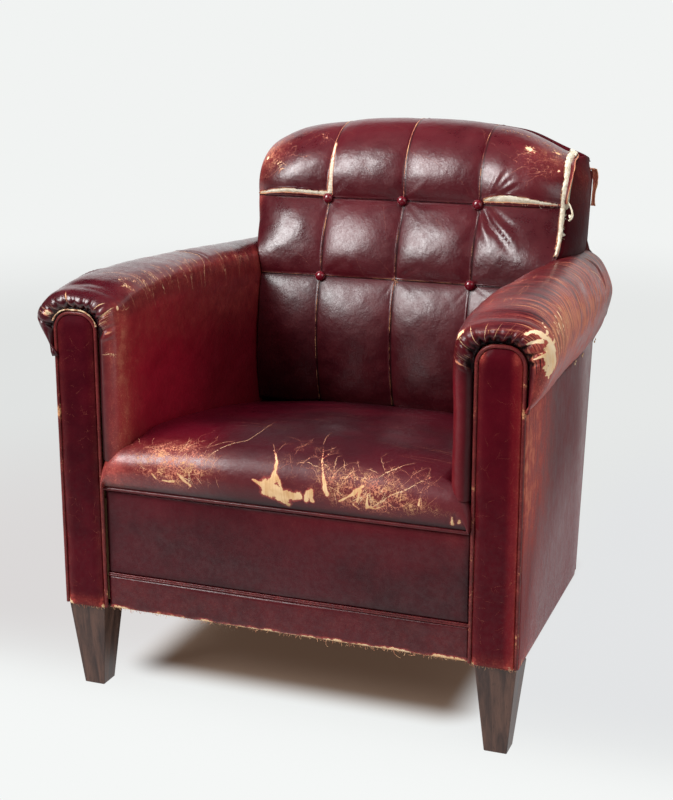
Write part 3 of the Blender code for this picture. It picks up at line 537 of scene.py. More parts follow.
def woodLook(name, dark, light, polish):
    book = ShadeBook(name)
    place = book.place()
    along = book.wander(book.stretch(place, (90.0, 90.0, 7.0)), 0.5, 1.6)
    grain = book.noise(along, 1.0, 6.0, 0.62)
    pores = book.noise(book.stretch(place, (700.0, 700.0, 45.0)), 1.0, 2.0)
    colour = book.blend(book.ease(grain, 0.32, 0.68), dark, light)
    colour = book.blend(book.ease(pores, 0.60, 0.72) * 0.6, colour, tuple(c * 0.35 for c in dark))
    roughness = polish + 0.25 * (grain - 0.5)
    return book.set(Base_Color=colour, Roughness=roughness,
                    Normal=book.raised(grain * 0.6 - pores * 0.5, 0.0004, 0.5))


print("materials ready")

leather = leatherLook("oxbloodLeather")
armLeather = {"left": leatherLook("armLeatherLeft", shine=0.42),
              "right": leatherLook("armLeatherRight", shine=0.16, hide=((250, 202, 148), (255, 232, 196)))}
seatLeather = leatherLook("seatLeather", shine=0.40, hide=((206, 152, 98), (240, 202, 154)))
frontLeather = leatherLook("frontLeather", dull=0.02, shine=0.20)
wadding = waddingLook()
stainedWood = woodLook("stainedWood", screen(48, 26, 20), screen(92, 62, 50), 0.42)


def mmLines(*rows, ends=1):
    # lines in millimetres: one number or two for the line, then u and v of each point
    lines = []
    for row in rows:
        values = np.array(row) / 1000
        lines.append((values[ends:].reshape(-1, 2), *values[:ends]))
    return lines


def onward(a, b, heading, length):
    return a + length * math.cos(heading), b + length * math.sin(heading)


def nearLine(flat, points):
    # distance to a bent line, the side it is on, and how far along the line
    points = np.asarray(points, float)
    total = len(points) - 1
    near = np.full(flat.shape[:-1], 9.0)
    side = np.ones(flat.shape[:-1])
    along = np.zeros(flat.shape[:-1])
    for k in range(total):
        a, b = points[k], points[k + 1]
        run = b - a
        t = np.clip(((flat - a) @ run) / (run @ run), 0, 1)
        away = flat - (a + t[..., None] * run)
        distance = np.linalg.norm(away, axis=-1)
        closer = distance < near
        near = np.where(closer, distance, near)
        side = np.where(closer, np.sign(run[0] * away[..., 1] - run[1] * away[..., 0]), side)
        along = np.where(closer, (k + t) / total, along)
    return near, side, along


def lineMarks(flat, lines):
    # marks that let the leather draw thin splits: (points, width) on the flat pattern
    nearest = np.full(flat.shape[:-1], 1.0)
    signed = np.full(flat.shape[:-1], 1.0)
    wide = np.full(flat.shape[:-1], 0.0005)
    for points, width in lines:
        near, side, along = nearLine(flat, points)
        closer = near < nearest
        nearest = np.where(closer, near, nearest)
        signed = np.where(closer, side * near, signed)
        taper = 0.25 + 0.75 * np.sin(np.pi * np.clip(along, 0, 1)) ** 0.5
        wide = np.where(closer, width * taper, wide)
    return {"line": signed, "lineClose": np.clip(1 - nearest / 0.006, 0, 1), "lineWide": wide}


def wrinkles(flat, folds):
    # raised (or, below zero, sunk) ripples along lines: (points, width, height)
    total = np.zeros(flat.shape[:-1])
    for points, width, height in folds:
        near, _, along = nearLine(flat, points)
        total += height * np.exp(-(near / width) ** 2) * np.sin(np.pi * np.clip(along, 0.02, 0.98)) ** 0.7
    return total


def branching(roots, seed):
    # crack lines that wander and fork: (u, v, heading in degrees, length, width) for each root
    dice = np.random.RandomState(seed)
    lines = []
    todo = [(np.array((u, v), float), math.radians(heading), length, width, 0)
            for u, v, heading, length, width in roots]
    while todo:
        point, heading, length, width, depth = todo.pop()
        points = [point]
        steps = max(3, int(length / 0.005))
        for _ in range(steps):
            heading += dice.uniform(-0.30, 0.30)
            point = point + np.array((math.cos(heading), math.sin(heading))) * length / steps
            points.append(point)
            if depth < 2 and dice.rand() < 0.22:
                turn = dice.choice((-1, 1)) * dice.uniform(0.5, 1.0)
                todo.append((point, heading + turn, length * dice.uniform(0.25, 0.5), width * 0.7, depth + 1))
        lines.append((points, width))
    return lines


def blotches(flat, spots):
    # spots: (u, v, half width, half height, turn in degrees); 1 in the middle, 0 well outside
    field = np.zeros(flat.shape[:-1])
    for u, v, halfWidth, halfHeight, turn in spots:
        c, s = math.cos(math.radians(turn)), math.sin(math.radians(turn))
        du, dv = flat[..., 0] - u, flat[..., 1] - v
        a = (du * c + dv * s) / halfWidth
        b = (dv * c - du * s) / halfHeight
        field = np.maximum(field, np.clip(1.0 - 0.5 * np.sqrt(a * a + b * b), 0, 1))
    return field


def lobes(flat, tongues):
    # bare tongues: points (u, v) with a half width at each end of the line
    bare = np.zeros(flat.shape[:-1])
    for points, start, end in tongues:
        near, _, along = nearLine(flat, points)
        bare = np.maximum(bare, 1 - 0.5 * near / mixed(start, end, along))
    return np.clip(bare, 0, 1)


armShape = {
    "top": ((0.0, 0.644), (0.03, 0.654), (0.115, 0.666), (0.28, 0.665), (0.475, 0.656), (0.72, 0.645)),
    "innerFront": 0.262,
    "innerRear": 0.2555,
    "seamRear": 0.486,
    "seamFront": {"left": 0.550, "right": 0.527},
    "tuck": {"left": 0.011, "right": 0.0},
    "overhang": (0.035, 0.029),
    "rearDepth": 0.700,
    "ends": ((0, 0.7012), (2, 0.7125), (3, 0.7210), (4, 0.7235), (4.6, 0.688), (7, 0.620)),
    "frontRow": 0.050,
    "borderBottom": 0.3900,
    "pleats": 11,
    "pleatSpan": (2.0, 7.2),
    "columnSpacing": 0.0028,
    "rowSpacing": 0.0038,
}
# the front facings of the arms: leather drawn over a padded board
panelShape = {
    "width": 0.075,
    "top": 0.620,
    "corner": 0.030,
    "back": 0.012,
    "crown": 0.0075,
    "weltRadius": 0.003,
    "spacing": 0.0028,
}
seatEdge = ((0.0, 0.405), (0.02, 0.414), (0.05, 0.417), (0.10, 0.421), (0.183, 0.416), (0.273, 0.404),
            (0.377, 0.388), (0.49, 0.366), (0.512, 0.3530), (0.565, 0.351))


def armInnerX(depth):
    return mixed(armShape["innerFront"], armShape["innerRear"], np.clip(np.asarray(depth) / 0.53, 0.0, 1.0))


def pairs(xs, zs):
    return np.stack([np.stack(np.broadcast_arrays(x, z), axis=-1) for x, z in zip(xs, zs)], axis=-2)


def armKeys(depth, hand):
    # the arm's outline at a depth: seam, roll, top, inner face and the tuck beside the seat
    seamFront = armShape["seamFront"][hand]
    f = np.clip(depth / armShape["rearDepth"], 0, 1)
    side = sideX(depth)
    top = softTable(armShape["top"], depth)
    seam = mixed(seamFront, armShape["seamRear"], f)
    out = mixed(*armShape["overhang"], f)
    inner = armInnerX(depth)
    bottom = softTable(seatEdge, np.maximum(depth, 0.05)) - 0.030
    shoulder = side - mixed(0.004, 0.022, f)
    tucked = armShape["tuck"][hand] * (1 - easeStep(0.02, 0.10, depth))
    xs = (side + 0.0025 - tucked, side + 0.62 * out - 0.7 * tucked, side + out, side + mixed(0.025, 0.008, f),
          shoulder,
          mixed(shoulder, inner + 0.012, 0.5), inner + 0.013, inner, inner, inner)
    zs = (seam, mixed(seam, top, 0.22), mixed(seam, top, 0.56), top - 0.022, top - 0.002, top, top - 0.012,
          top - 0.045, mixed(bottom, top - 0.045, 0.5), bottom)
    return pairs(xs, zs)


def panelKeys(seamFront):
    # the edge of the front panel where the arm's leather tucks in behind it
    clearance = 0.0012
    outer = body["frontHalfWidth"] + clearance
    inner = body["frontHalfWidth"] - panelShape["width"] - clearance
    top = panelShape["top"] + clearance
    corner = panelShape["corner"] + clearance
    bottom = armShape["borderBottom"]
    xs = (outer + 0.0006, outer + 0.0003, outer, outer - 0.29 * corner, outer - 0.9 * corner,
          inner + 0.7 * corner, inner + 0.22 * corner, inner, inner, inner)
    zs = (seamFront, seamFront + 0.02, top - corner, top - 0.29 * corner, top, top, top - 0.29 * corner,
          top - corner, mixed(bottom, top - corner, 0.5), bottom)
    return np.stack([np.array(xs, float), np.array(zs, float)], axis=-1)


def evenStations(keys, spacing):
    # parameters spaced evenly along the curve through keys, with the metres run at each
    fine = np.linspace(0, keys.shape[-2] - 1, 1200)
    points = alongKeys(np.broadcast_to(keys, (len(fine),) + keys.shape), fine)
    run = np.concatenate([[0], np.cumsum(np.linalg.norm(np.diff(points, axis=0), axis=-1))])
    count = stepsFor(run[-1], spacing)
    even = np.linspace(0, run[-1], count + 1)
    return np.interp(even, run, fine), even


def armGrid(side):
    seamFront = armShape["seamFront"][side]
    s, arc = evenStations(armKeys(np.array(0.2), side), armShape["columnSpacing"])
    columns = len(s)
    rearRows = stepsFor(0.65, armShape["rowSpacing"])
    front = armShape["frontRow"]
    f = np.linspace(1, 0, rearRows + 1)[:, None]
    ends = np.interp(s, *np.transpose(armShape["ends"]))[None, :]
    depth = mixed(front, ends, f)
    rearPart = alongKeys(armKeys(depth, side), np.broadcast_to(s, depth.shape))
    # the front end closes on the panel: (depth, how far it has closed)
    borderKeys = np.array(((0.078, 0.0), (front, 0.0), (0.022, 0.0), (0.004, 0.12), (-0.005, 0.40),
                           (-0.0065, 0.72), (0.0015, 1.0)))
    borderRows = 36
    stage = np.linspace(1, 6, borderRows + 1)[1:]
    path = alongKeys(np.broadcast_to(borderKeys, (borderRows,) + borderKeys.shape), stage)
    openEnd = armKeys(np.array(0.022), side)
    openEnd[-1, 1] = armShape["borderBottom"]
    openPoints = alongKeys(np.broadcast_to(openEnd, (columns,) + openEnd.shape), s)
    nearPoints = rearPart[-1]
    panelPoints = alongKeys(np.broadcast_to(panelKeys(seamFront), (columns, 10, 2)), s)
    borderPart = []
    borderDepth = []
    for u, (y, closed) in zip(stage, path):
        start = mixed(nearPoints, openPoints, min(u - 1, 1.0))
        borderPart.append(mixed(start, panelPoints, np.clip(closed, 0, 1)))
        borderDepth.append(np.full(columns, y))
    points = np.concatenate([rearPart, np.array(borderPart)])
    depth = np.concatenate([depth, np.array(borderDepth)])
    grid = np.stack([points[..., 0], depth, points[..., 1]], axis=-1)
    closed = np.concatenate([np.zeros(rearRows + 1), np.clip(path[:, 1], 0, 1)])
    reach = np.concatenate([[0], np.cumsum(np.linalg.norm(np.diff(grid, axis=0), axis=-1).mean(axis=1))])
    flat = np.stack(np.broadcast_arrays(reach[-1] - reach[:, None], arc[None, :]), axis=-1)
    return grid, flat, s, closed


def armWear(side, flat, closed):
    # wear on the flat pattern: reach back from the front end, and metres round from the nailed seam
    reach, arc = flat[..., 0], flat[..., 1]
    dice = np.random.RandomState(21 if side == "left" else 22)
    lines = []
    top = bump(arc, 0.19, 0.05)
    if side == "left":
        innerEdge = bump(arc, 0.258, 0.022)
        corner = bump(reach, 0.044, 0.020)
        inside = easeStep(0.25, 0.29, arc)
        for _ in range(80):
            r = dice.uniform(0.085, 0.34) if dice.uniform() < 0.75 else dice.uniform(0.34, 0.54)
            a = dice.uniform(0.212, 0.258)
            length = dice.uniform(0.010, 0.036)
            lines.append(([(r, a), (r + 0.003, a + length / 2), (r + 0.007, a + length)],
                          dice.uniform(0.00030, 0.00070)))
        for _ in range(80):
            r, a = dice.uniform(0.020, 0.085), dice.uniform(0.26, 0.49)
            turn, length = dice.uniform(0.3, 1.9), dice.uniform(0.004, 0.022)
            lines.append(([(r, a), onward(r, a, turn, length)], dice.uniform(0.00012, 0.00030)))
        lines += mmLines((0.7, 330, 172, 350, 195, 362, 222, 358, 240, 352, 258, 352, 285),
                         (0.3, 300, 195, 318, 232, 322, 262), (0.5, 115, 180, 128, 200, 134, 220, 138, 240),
                         (0.4, 106, 200, 122, 225, 132, 252), (1.2, 88, 231, 96, 234, 101, 239),
                         (0.5, 92, 237, 104, 250), (1.3, 8, 250, 22, 250, 37, 249), (0.5, 10, 256, 30, 258),
                         (1.3, 16, 230, 24, 232, 31, 236), (0.6, 6, 262, 26, 264), (0.5, 4, 272, 24, 272),
                         (0.4, 4, 281, 20, 279), (0.6, 52, 258, 66, 263, 76, 262), (0.5, 60, 250, 64, 262),
                         (0.6, 4, 124, 26, 122), (0.4, 4, 140, 22, 139), (0.6, 6, 112, 30, 110),
                         (0.3, 8, 176, 30, 175), (0.9, 12, 318, 22, 321, 35, 326), (0.5, 24, 318, 34, 332))
        rub = 0.03 + 0.30 * innerEdge * easeStep(0.04, 0.10, reach)
        rub = rub + 0.95 * corner * easeStep(0.235, 0.27, arc)
        rub = rub + 0.25 * bump(reach, 0.070, 0.040) * inside
        # painted sheen: a lighter rubbed band along the upper inner face
        rub = rub + 0.34 * bump(arc, 0.31, 0.045) * easeStep(0.04, 0.14, reach)
        streak = 0.12 * innerEdge + 0.05 * top
        bare = blotches(flat, ((0.045, 0.252, 0.0022, 0.0035, 20), (0.014, 0.120, 0.004, 0.006, 15)))
        crackle = 0.06 * innerEdge + 0.22 * corner * inside
        lively = 0.05 + 0.25 * easeStep(0.22, 0.26, arc) + 0.85 * inside * easeStep(0.030, 0.055, reach)
        # painted light and shade on the inner face: a brighter scarlet towards its front and middle that
        # fades to the rear, and darker right beside the facing
        lively = lively + 1.15 * inside * bump(reach, 0.16, 0.15) * (0.40 + 0.60 * bump(arc, 0.40, 0.08))
        lively = lively - 0.3 * inside * (reach < 0.03)
        lively = lively + 1.2 * corner * inside
        matt = 0.75 * easeStep(0.35, 0.42, arc) - 0.30 * top
    else:
        outer = bump(arc, 0.100, 0.042)
        low = 1 - easeStep(0.02, 0.09, arc)
        hottest = bump(arc, 0.122, 0.026) * bump(reach, 0.15, 0.12)
        for _ in range(110):
            r = dice.uniform(0.06, 0.30) if dice.uniform() < 0.6 else dice.uniform(0.30, 0.60)
            a = dice.uniform(0.070, 0.145)
            length = dice.uniform(0.010, 0.036)
            lines.append(([(r, a), (r - 0.002, a + length / 2), (r - 0.007, a + length)],
                          dice.uniform(0.00014, 0.00034)))
        for _ in range(46):
            r = dice.uniform(0.07, 0.21)
            a = dice.uniform(0.080, 0.138)
            length = dice.uniform(0.008, 0.026)
            lines.append(([(r, a), (r - 0.15 * length, a + 0.5 * length), (r - 0.4 * length, a + length)],
                          dice.uniform(0.00040, 0.00100)))
        for _ in range(40):
            r = dice.uniform(0.08, 0.30)
            a = dice.uniform(0.196, 0.246)
            length = dice.uniform(0.012, 0.050)
            lines.append(([(r, a), (r + length, a + dice.uniform(-0.008, 0.002))],
                          dice.uniform(0.00014, 0.00036)))
        lines += [([(0.548, 0.146), (0.580, 0.134), (0.606, 0.118), (0.622, 0.102), (0.628, 0.080)], 0.0010)]
        lines += [([(0.003, a), (0.020, a - 0.002), (0.036, a - 0.004)], w) for a, w in
                  ((0.270, 0.0011), (0.247, 0.0009), (0.224, 0.0006), (0.206, 0.0005), (0.283, 0.0006),
                   (0.292, 0.0005),
                   (0.190, 0.0003), (0.175, 0.0003), (0.302, 0.0004))]
        lines += [([(0.036, 0.252), (0.030, 0.262), (0.034, 0.272)], 0.0014)]
        rub = 0.12 + 1.55 * outer + 1.30 * hottest + 0.85 * low
        rub = rub + 0.25 * bump(arc, 0.235, 0.015) * bump(reach, 0.2, 0.15)
        rub = rub * (1 - 0.45 * easeStep(0.48, 0.66, reach)) * easeStep(0.0, 0.035, reach)
        streak = 0.80 * outer + 0.70 * hottest + 0.80 * bump(arc, 0.155, 0.025) + 0.40 * top
        bare = np.maximum(lobes(flat, mmLines((3, 5, 27, 165, 36, 160, 42, 150),
                                              (6, 15, 42, 150, 48, 134, 46, 118),
                                              (15, 13, 45, 120, 43, 104, 40, 88),
                                              (12, 3, 40, 90, 38, 78, 40, 68),
                                              (3.6, 1.4, 34, 140, 24, 147, 17, 150),
                                              (3.4, 1.4, 30, 114, 22, 114, 15, 112),
                                              (3, 0.8, 46, 100, 52, 88, 50, 76),
                                              (3, 0.6, 46, 146, 62, 146, 70, 158),
                                              (3, 0.6, 50, 128, 68, 124, 80, 138),
                                              (1.8, 0.5, 100, 122, 104, 142),
                                              (2.2, 0.5, 122, 124, 126, 146),
                                              (2.2, 0.5, 144, 118, 148, 148), ends=2)),
                          blotches(flat, ((0.034, 0.262, 0.0030, 0.0060, 0),)))
        crackle = 0.04 * outer
        lively = 0.25 * (1 - outer) + 0.5 * easeStep(0.30, 0.34, arc)
        matt = 0.35 + 0.35 * np.maximum(outer, low)
    marks = lineMarks(flat, lines)
    marks.update(rub=np.clip(rub, 0, 2.2), streak=streak, bare=bare,
                 crackle=crackle * (1 - 0.5 * closed[:, None]),
                 lively=np.clip(lively, 0, 2.4), matt=np.clip(matt, -0.3, 1))
    return marks


def arm(side):
    grid, flat, s, closed = armGrid(side)
    low, high = armShape["pleatSpan"]
    count = armShape["pleats"]
    dice = np.random.RandomState(7 if side == "left" else 11)
    normals = gridNormals(grid) * -1
    places = low + (np.arange(count) + 0.5 + dice.uniform(-0.22, 0.22, count)) * (high - low) / count
    depths = dice.uniform(0.7, 1.2, count)
    gather = np.zeros(grid.shape[:2])
    tan = np.zeros(grid.shape[:2])
    near = easeStep(0.30, 0.95, closed)[:, None]
    fade = (easeStep(0.0, 0.35, closed) * (1 - easeStep(0.985, 1.0, closed)))[:, None]
    for place, amount in zip(places, depths):
        lean = place + 0.05 * (1 - closed[:, None])
        width = mixed(0.05, 0.12, near)
        valley = bump(s[None, :], lean, width)
        gather -= amount * valley * fade * mixed(0.0016, 0.0050, near)
        tan = np.maximum(tan, bump(s[None, :], lean + 0.08, 0.030) * fade * (1 - 0.8 * near) * amount)
    swell = bump(closed, 0.5, 0.35)[:, None] * 0.0012
    grid = grid + normals * (gather + swell * ((s > low) & (s < high)))[..., None]
    sag = softNoise(grid, 14.0) * 0.0016 + softNoise(grid, 45.0) * 0.0005
    calm = 1 - closed[:, None]
    sag = sag + wrinkles(flat, armFolds[side])
    grid = grid + normals * (sag * calm)[..., None]
    marks = armWear(side, flat, closed)
    # painted shade: darker in the deep pleat valleys near the facing, where the leather closes in behind the
    # facing, and low at the front of the inner face beside the seat
    seam = easeStep(0.80, 0.97, closed)[:, None] * mixed(0.35, 0.9, easeStep(1.2, 2.6, s)[None, :])
    marks["grime"] = np.maximum(np.clip(-gather / 0.0035, 0, 1) * near, seam)
    behind = (1 - easeStep(0.004, 0.026, flat[..., 0])) * easeStep(6.6, 7.4, s[None, :])
    marks["grime"] = np.maximum(marks["grime"], 0.62 * behind)
    marks["fold"] = tan * 0.85
    obj = closedSheet(f"armLeather{side.capitalize()}", grid, flat, marks, armLeather[side], hand=hands[side])
    settle(obj, "oxblood_leather", f"arm_cover_{side}", f"arm_stuffing_{side}")


armFolds = {
    "left": mmLines((4, 3.5, 100, 110, 128, 140, 150, 165), (4, -2.5, 118, 105, 145, 135, 165, 160),
                    (4, 1.8, 345, 140, 352, 185, 366, 215, 380, 250),
                    (4, -1.8, 355, 140, 362, 185, 376, 215, 390, 250),
                    (8, -2, 60, 160, 72, 190, 70, 225), ends=2),
    "right": mmLines((9, -1, 50, 150, 62, 180, 58, 215), (4, -2, 600, 170, 618, 135, 628, 98),
                     (4, 1.5, 608, 170, 626, 135, 636, 98), ends=2),
}
for side in hands:
    arm(side)
print("arms made")


seatShape = {
    "rows": ((-0.001, 0.3465), (-0.008, 0.360), (-0.011, 0.376), (-0.007, 0.391), (0.004, 0.403),
             (0.024, 0.4143), (0.050, 0.4170), (0.10, 0.4210), (0.183, 0.416), (0.273, 0.404),
             (0.377, 0.388), (0.490, 0.366), (0.512, 0.3530), (0.565, 0.351)),
    "base": 0.3465,
    "crown": 0.016,
    "earHalfWidth": 0.2935,
    "earDepth": 0.015,
    "shoulder": 0.016,
    "earShoulder": 0.030,
    "spacing": 0.0060,
    "frontSpacing": 0.0016,
    "fineReach": 0.150,
    "columnSpacing": 0.0017,
}


def seatGrid():
    keys = np.array(seatShape["rows"])
    stage, reach = evenStations(keys, seatShape["spacing"] / 4)
    # rows crowd together on the worn front roll
    fine, coarse = seatShape["frontSpacing"], seatShape["spacing"]
    front = seatShape["fineReach"]
    count = (stepsFor(front, fine), stepsFor(reach[-1] - front, coarse))
    run = np.concatenate([np.linspace(0, front, count[0] + 1),
                          np.linspace(front, reach[-1], count[1] + 1)[1:]])
    stage = np.interp(run, reach, stage)
    path = alongKeys(np.broadcast_to(keys, (len(stage),) + keys.shape), stage)
    depth, height = path[:, 0], path[:, 1]
    ear = 1 - easeStep(0.004, 0.022, depth)
    limit = mixed(armInnerX(depth) - 0.0012, seatShape["earHalfWidth"], ear)
    shoulder = mixed(seatShape["shoulder"], seatShape["earShoulder"], ear)
    shoulder = np.minimum(shoulder, height - seatShape["base"] + 0.0008)
    crown = seatShape["crown"] * easeStep(0, 5, stage)
    count = stepsFor(0.62, seatShape["columnSpacing"], 8)
    t = np.linspace(-1, 1, count + 1)
    grid = np.zeros((len(stage), count + 1, 3))
    for i in range(len(stage)):
        # flat run, quarter round and a straight drop, by the metres along them
        flatRun = limit[i] - shoulder[i]
        arc = shoulder[i] * math.pi / 2
        drop = max(height[i] - shoulder[i] - seatShape["base"], 0.0)
        along = np.abs(t) * (flatRun + arc + drop)
        angle = np.clip((along - flatRun) / max(shoulder[i], 1e-6), 0, math.pi / 2)
        x = np.minimum(along, flatRun) + shoulder[i] * np.sin(angle)
        z = height[i] - shoulder[i] * (1 - np.cos(angle)) - np.clip(along - flatRun - arc, 0, None)
        z = z + crown[i] * (1 - (x / limit[i]) ** 2)
        grid[i] = np.stack([np.sign(t) * x, np.full_like(x, depth[i]), z], axis=-1)
    flat = np.stack(np.broadcast_arrays(grid[..., 0], run[:, None]), axis=-1)
    return grid, flat, stage


# roots of cracks on the seat, in millimetres and degrees: u across, v up and back from the welt, heading,
# length and width
seatCracks = {
    "left": (
        (-228, 44, -20, 22, 0.5), (-192, 52, -35, 20, 0.6), (-204, 34, -45, 16, 0.6),
        (-163, 38, -35, 26, 1.1), (-143, 40, -88, 20, 0.7), (-131, 34, -25, 14, 0.6),
        (-120, 62, -80, 16, 0.5), (-235, 60, 20, 30, 0.3), (-205, 62, 70, 20, 0.4),
        (-185, 60, 100, 22, 0.4), (-172, 58, 40, 24, 0.4), (-158, 50, 75, 24, 0.5),
        (-146, 46, 110, 26, 0.5), (-166, 72, 10, 30, 0.3), (-190, 30, 15, 20, 0.5),
        (-112, 34, -60, 14, 0.4), (-98, 36, -70, 16, 0.4)
    ),
    "right": (
        (96, 18, 90, 18, 0.5), (104, 22, 60, 16, 0.5), (116, 24, 30, 26, 0.7), (120, 30, 55, 24, 0.7),
        (128, 20, 70, 26, 0.8), (136, 46, -60, 30, 0.7), (146, 44, -80, 26, 0.7), (150, 22, 10, 26, 0.9),
        (158, 34, 50, 22, 0.6), (164, 26, 75, 20, 0.6), (128, 56, 5, 14, 0.6), (176, 50, 60, 16, 0.4),
        (190, 36, 40, 18, 0.4), (205, 28, 30, 22, 0.4), (230, 30, 60, 24, 0.3)
    ),
}


# how many hairs, then the spans of u, v, heading, length and width
seatHairs = (
    (26, (-0.25, -0.08), (0.035, 0.085), (0, 180), (0.02, 0.05), (0.0002, 0.0005)),
    (34, (0.07, 0.24), (0.020, 0.070), (20, 160), (0.02, 0.05), (0.0002, 0.0006)),
    (12, (-0.02, 0.08), (0.040, 0.090), (40, 140), (0.02, 0.04), (0.0002, 0.0004)),
)


def crackRoots(side):
    return [(u / 1000, v / 1000, heading, length / 1000, width / 1000)
            for u, v, heading, length, width in seatCracks[side]]


def seatWear(flat):
    u, v = flat[..., 0], flat[..., 1]
    lines = branching(crackRoots("left"), 3) + branching(crackRoots("right"), 5)
    dice = np.random.RandomState(17)
    hairs = [tuple(dice.uniform(*span) for span in spans)
             for count, *spans in seatHairs for _ in range(count)]
    lines += branching(hairs, 19)
    lines += mmLines((0.6, -117, 58, -110, 68, -100, 78, -86, 90, -69, 106, -61, 144, -63, 203),
                     (0.7, 147, 49, 154, 56, 165, 68, 179, 82, 197, 110), (0.3, 160, 50, 170, 62, 186, 80),
                     (0.7, 168, 30, 172, 36, 188, 44, 202, 50, 216, 61, 232, 75),
                     (0.3, 190, 50, 200, 60, 206, 72), (0.4, 55, 105, 48, 125, 43, 148, 41, 180),
                     (0.4, 60, 96, 68, 108, 70, 120), (0.4, -12, 78, -18, 90, -24, 100))
    dice = np.random.RandomState(9)
    for _ in range(22):
        x, y = dice.uniform(-0.2, 0.2), dice.uniform(0.12, 0.42)
        turn = dice.uniform(-0.5, 0.5)
        length = dice.uniform(0.04, 0.14)
        lines.append(([(x, y), (x + length * 0.5, y + turn * 0.03), (x + length, y + turn * 0.02)], 0.00018))
    marks = lineMarks(flat, lines)
    bare = lobes(flat, mmLines((0.6, 6, -38, 38, -22, 33, -12, 30), (6.5, 4.2, -16, 27, 2, 21, 18, 9),
                               (8, 7.5, -12, 31, 6, 26, 16, 20), (6.5, 4.2, 4, 26, 20, 23, 38, 24),
                               (5, 1.3, -6, 34, -3, 44, -2, 54, -3, 64),
                               (1.3, 0.4, -3, 62, -7, 71, -14, 80), (1.6, 2, 0, 46, 6, 38, 10, 30),
                               (3.5, 2.6, 48, 21, 50, 29), (4.2, 2.8, 56, 30, 57, 20),
                               (3, 2.2, 81, 31, 77, 40, 74, 50), (1.2, 0.6, 74, 50, 70, 60, 66, 70, 63, 84),
                               (0.7, 0.4, 63, 82, 60, 92, 55, 104), (0.6, 0.4, 66, 76, 70, 88),
                               (1.2, 0.8, 88, 52, 93, 51), (1, 1.6, 100, 24, 112, 30),
                               (1.2, 2.2, 112, 30, 124, 36), (3, 1.4, 124, 38, 136, 46),
                               (1.4, 2.2, 128, 26, 132, 40), (1.4, 1, 122, 22, 130, 16),
                               (1.8, 1, 142, 20, 144, 38), (1.6, 1, 144, 21, 156, 20),
                               (1, 0.6, 156, 20, 170, 26), (0.7, 2.2, -163, 37, -153, 29, -141, 21),
                               (1, 1.4, -186, 25, -176, 24, -167, 25), (1.2, 0.6, -204, 33, -197, 26),
                               (2.4, 1.4, 270, 10, 270, 22), (1.8, 0.8, 280, 14, 281, 22),
                               (1.3, 1, 221, 33, 222, 41), ends=2))
    front = bump(v, 0.036, 0.028)
    left = bump(u, -0.17, 0.06)
    right = bump(u, 0.14, 0.06)
    leftEnd = bump(u, -0.28, 0.04) * bump(v, 0.03, 0.04)
    rub = front * (0.06 + 0.18 * left + 0.16 * right) + 0.25 * bump(v, 0.065, 0.03) * left + 0.9 * leftEnd
    crackle = bump(v, 0.040, 0.022) * (0.95 * left + 1.25 * bump(u, 0.145, 0.055))
    crackle = crackle + 0.55 * bump(v, 0.066, 0.022) * left
    crackle = crackle + 0.30 * bump(v, 0.050, 0.030) * (bump(u, 0.0, 0.03) + bump(u, 0.07, 0.03))
    crackle = crackle + 0.35 * bump(v, 0.030, 0.014) * bump(u, 0.23, 0.05)
    # painted shade: darker just above the welt under the front roll, and towards the rear where the seat runs
    # in under the back
    grime = 0.55 * (1 - easeStep(0.004, 0.012, v)) + 0.35 * easeStep(0.46, 0.56, v)
    lively = 0.02 + 0.45 * front + 0.15 * left * (1 - easeStep(0.10, 0.2, v)) + 0.10 * bump(v, 0.10, 0.05)
    matt = 0.10 + 0.80 * easeStep(-0.16, -0.05, u) * (1 - 0.35 * bump(u, 0.16, 0.05) * bump(v, 0.05, 0.03))
    matt = matt * (1 - 0.7 * easeStep(0.12, 0.22, v))
    marks.update(matt=matt, bare=bare, rub=rub, crackle=crackle, grime=grime, lively=lively)
    return marks


def seat():
    grid, flat, stage = seatGrid()
    normals = -gridNormals(grid)
    sag = softNoise(grid, 9.0) * 0.0022 + softNoise(grid + 3, 30.0) * 0.0007
    sag = sag + wrinkles(flat, [([(0.272, 0.004), (0.276, 0.030)], 0.0025, -0.0030),
                                ([(0.281, 0.004), (0.283, 0.026)], 0.0025, -0.0026),
                                ([(0.262, 0.004), (0.266, 0.022)], 0.0025, -0.0018),
                                ([(-0.05, 0.012), (0.10, 0.012)], 0.006, 0.0012)])
    calm = (easeStep(0.0, 2.0, stage) * (1 - easeStep(11.0, 12.0, stage)))[:, None]
    grid = grid + normals * (sag * calm)[..., None]
    obj = closedSheet("seatLeather", grid, flat, seatWear(flat), seatLeather)
    settle(obj, "oxblood_leather", "seat_cover", "seat_stuffing")


seat()
print("seat made")


backShape = {
    "padWidth": 0.139,
    "rows": (0.600, 0.734),
    "bottom": 0.3705,
    "fullness": 0.0125,
    "ridge": (0.0200, 0.0085, 0.0060),
    "halfWidth": ((0.37, 0.2540), (0.595, 0.2545), (0.620, 0.2590), (0.640, 0.2665), (0.660, 0.2720),
                  (0.70, 0.2775), (0.734, 0.2805), (0.90, 0.2840)),
    "plane": ((0.37, 0.534), (0.45, 0.533), (0.600, 0.538), (0.734, 0.586)),
    "crest": ((0.0, 0.8700), (0.092, 0.8660), (0.151, 0.8600), (0.205, 0.8490), (0.254, 0.8320),
              (0.285, 0.8160), (0.300, 0.8000)),
    "crestDepth": 0.715,
    "crestTurn": 100.0,
    "edgeTurn": 0.022,
    "padColumns": 44,
    "lowRows": 60,
    "middleRows": 44,
    "topRows": 60,
    "crowding": 0.82,
}


def crestAt(x):
    # the crest sits a little high on the left and has sagged at the torn right corner
    level = softTable(backShape["crest"], np.abs(x))
    return level - 0.009 * easeStep(0.17, 0.26, x) + 0.004 * bump(x, -0.24, 0.06)


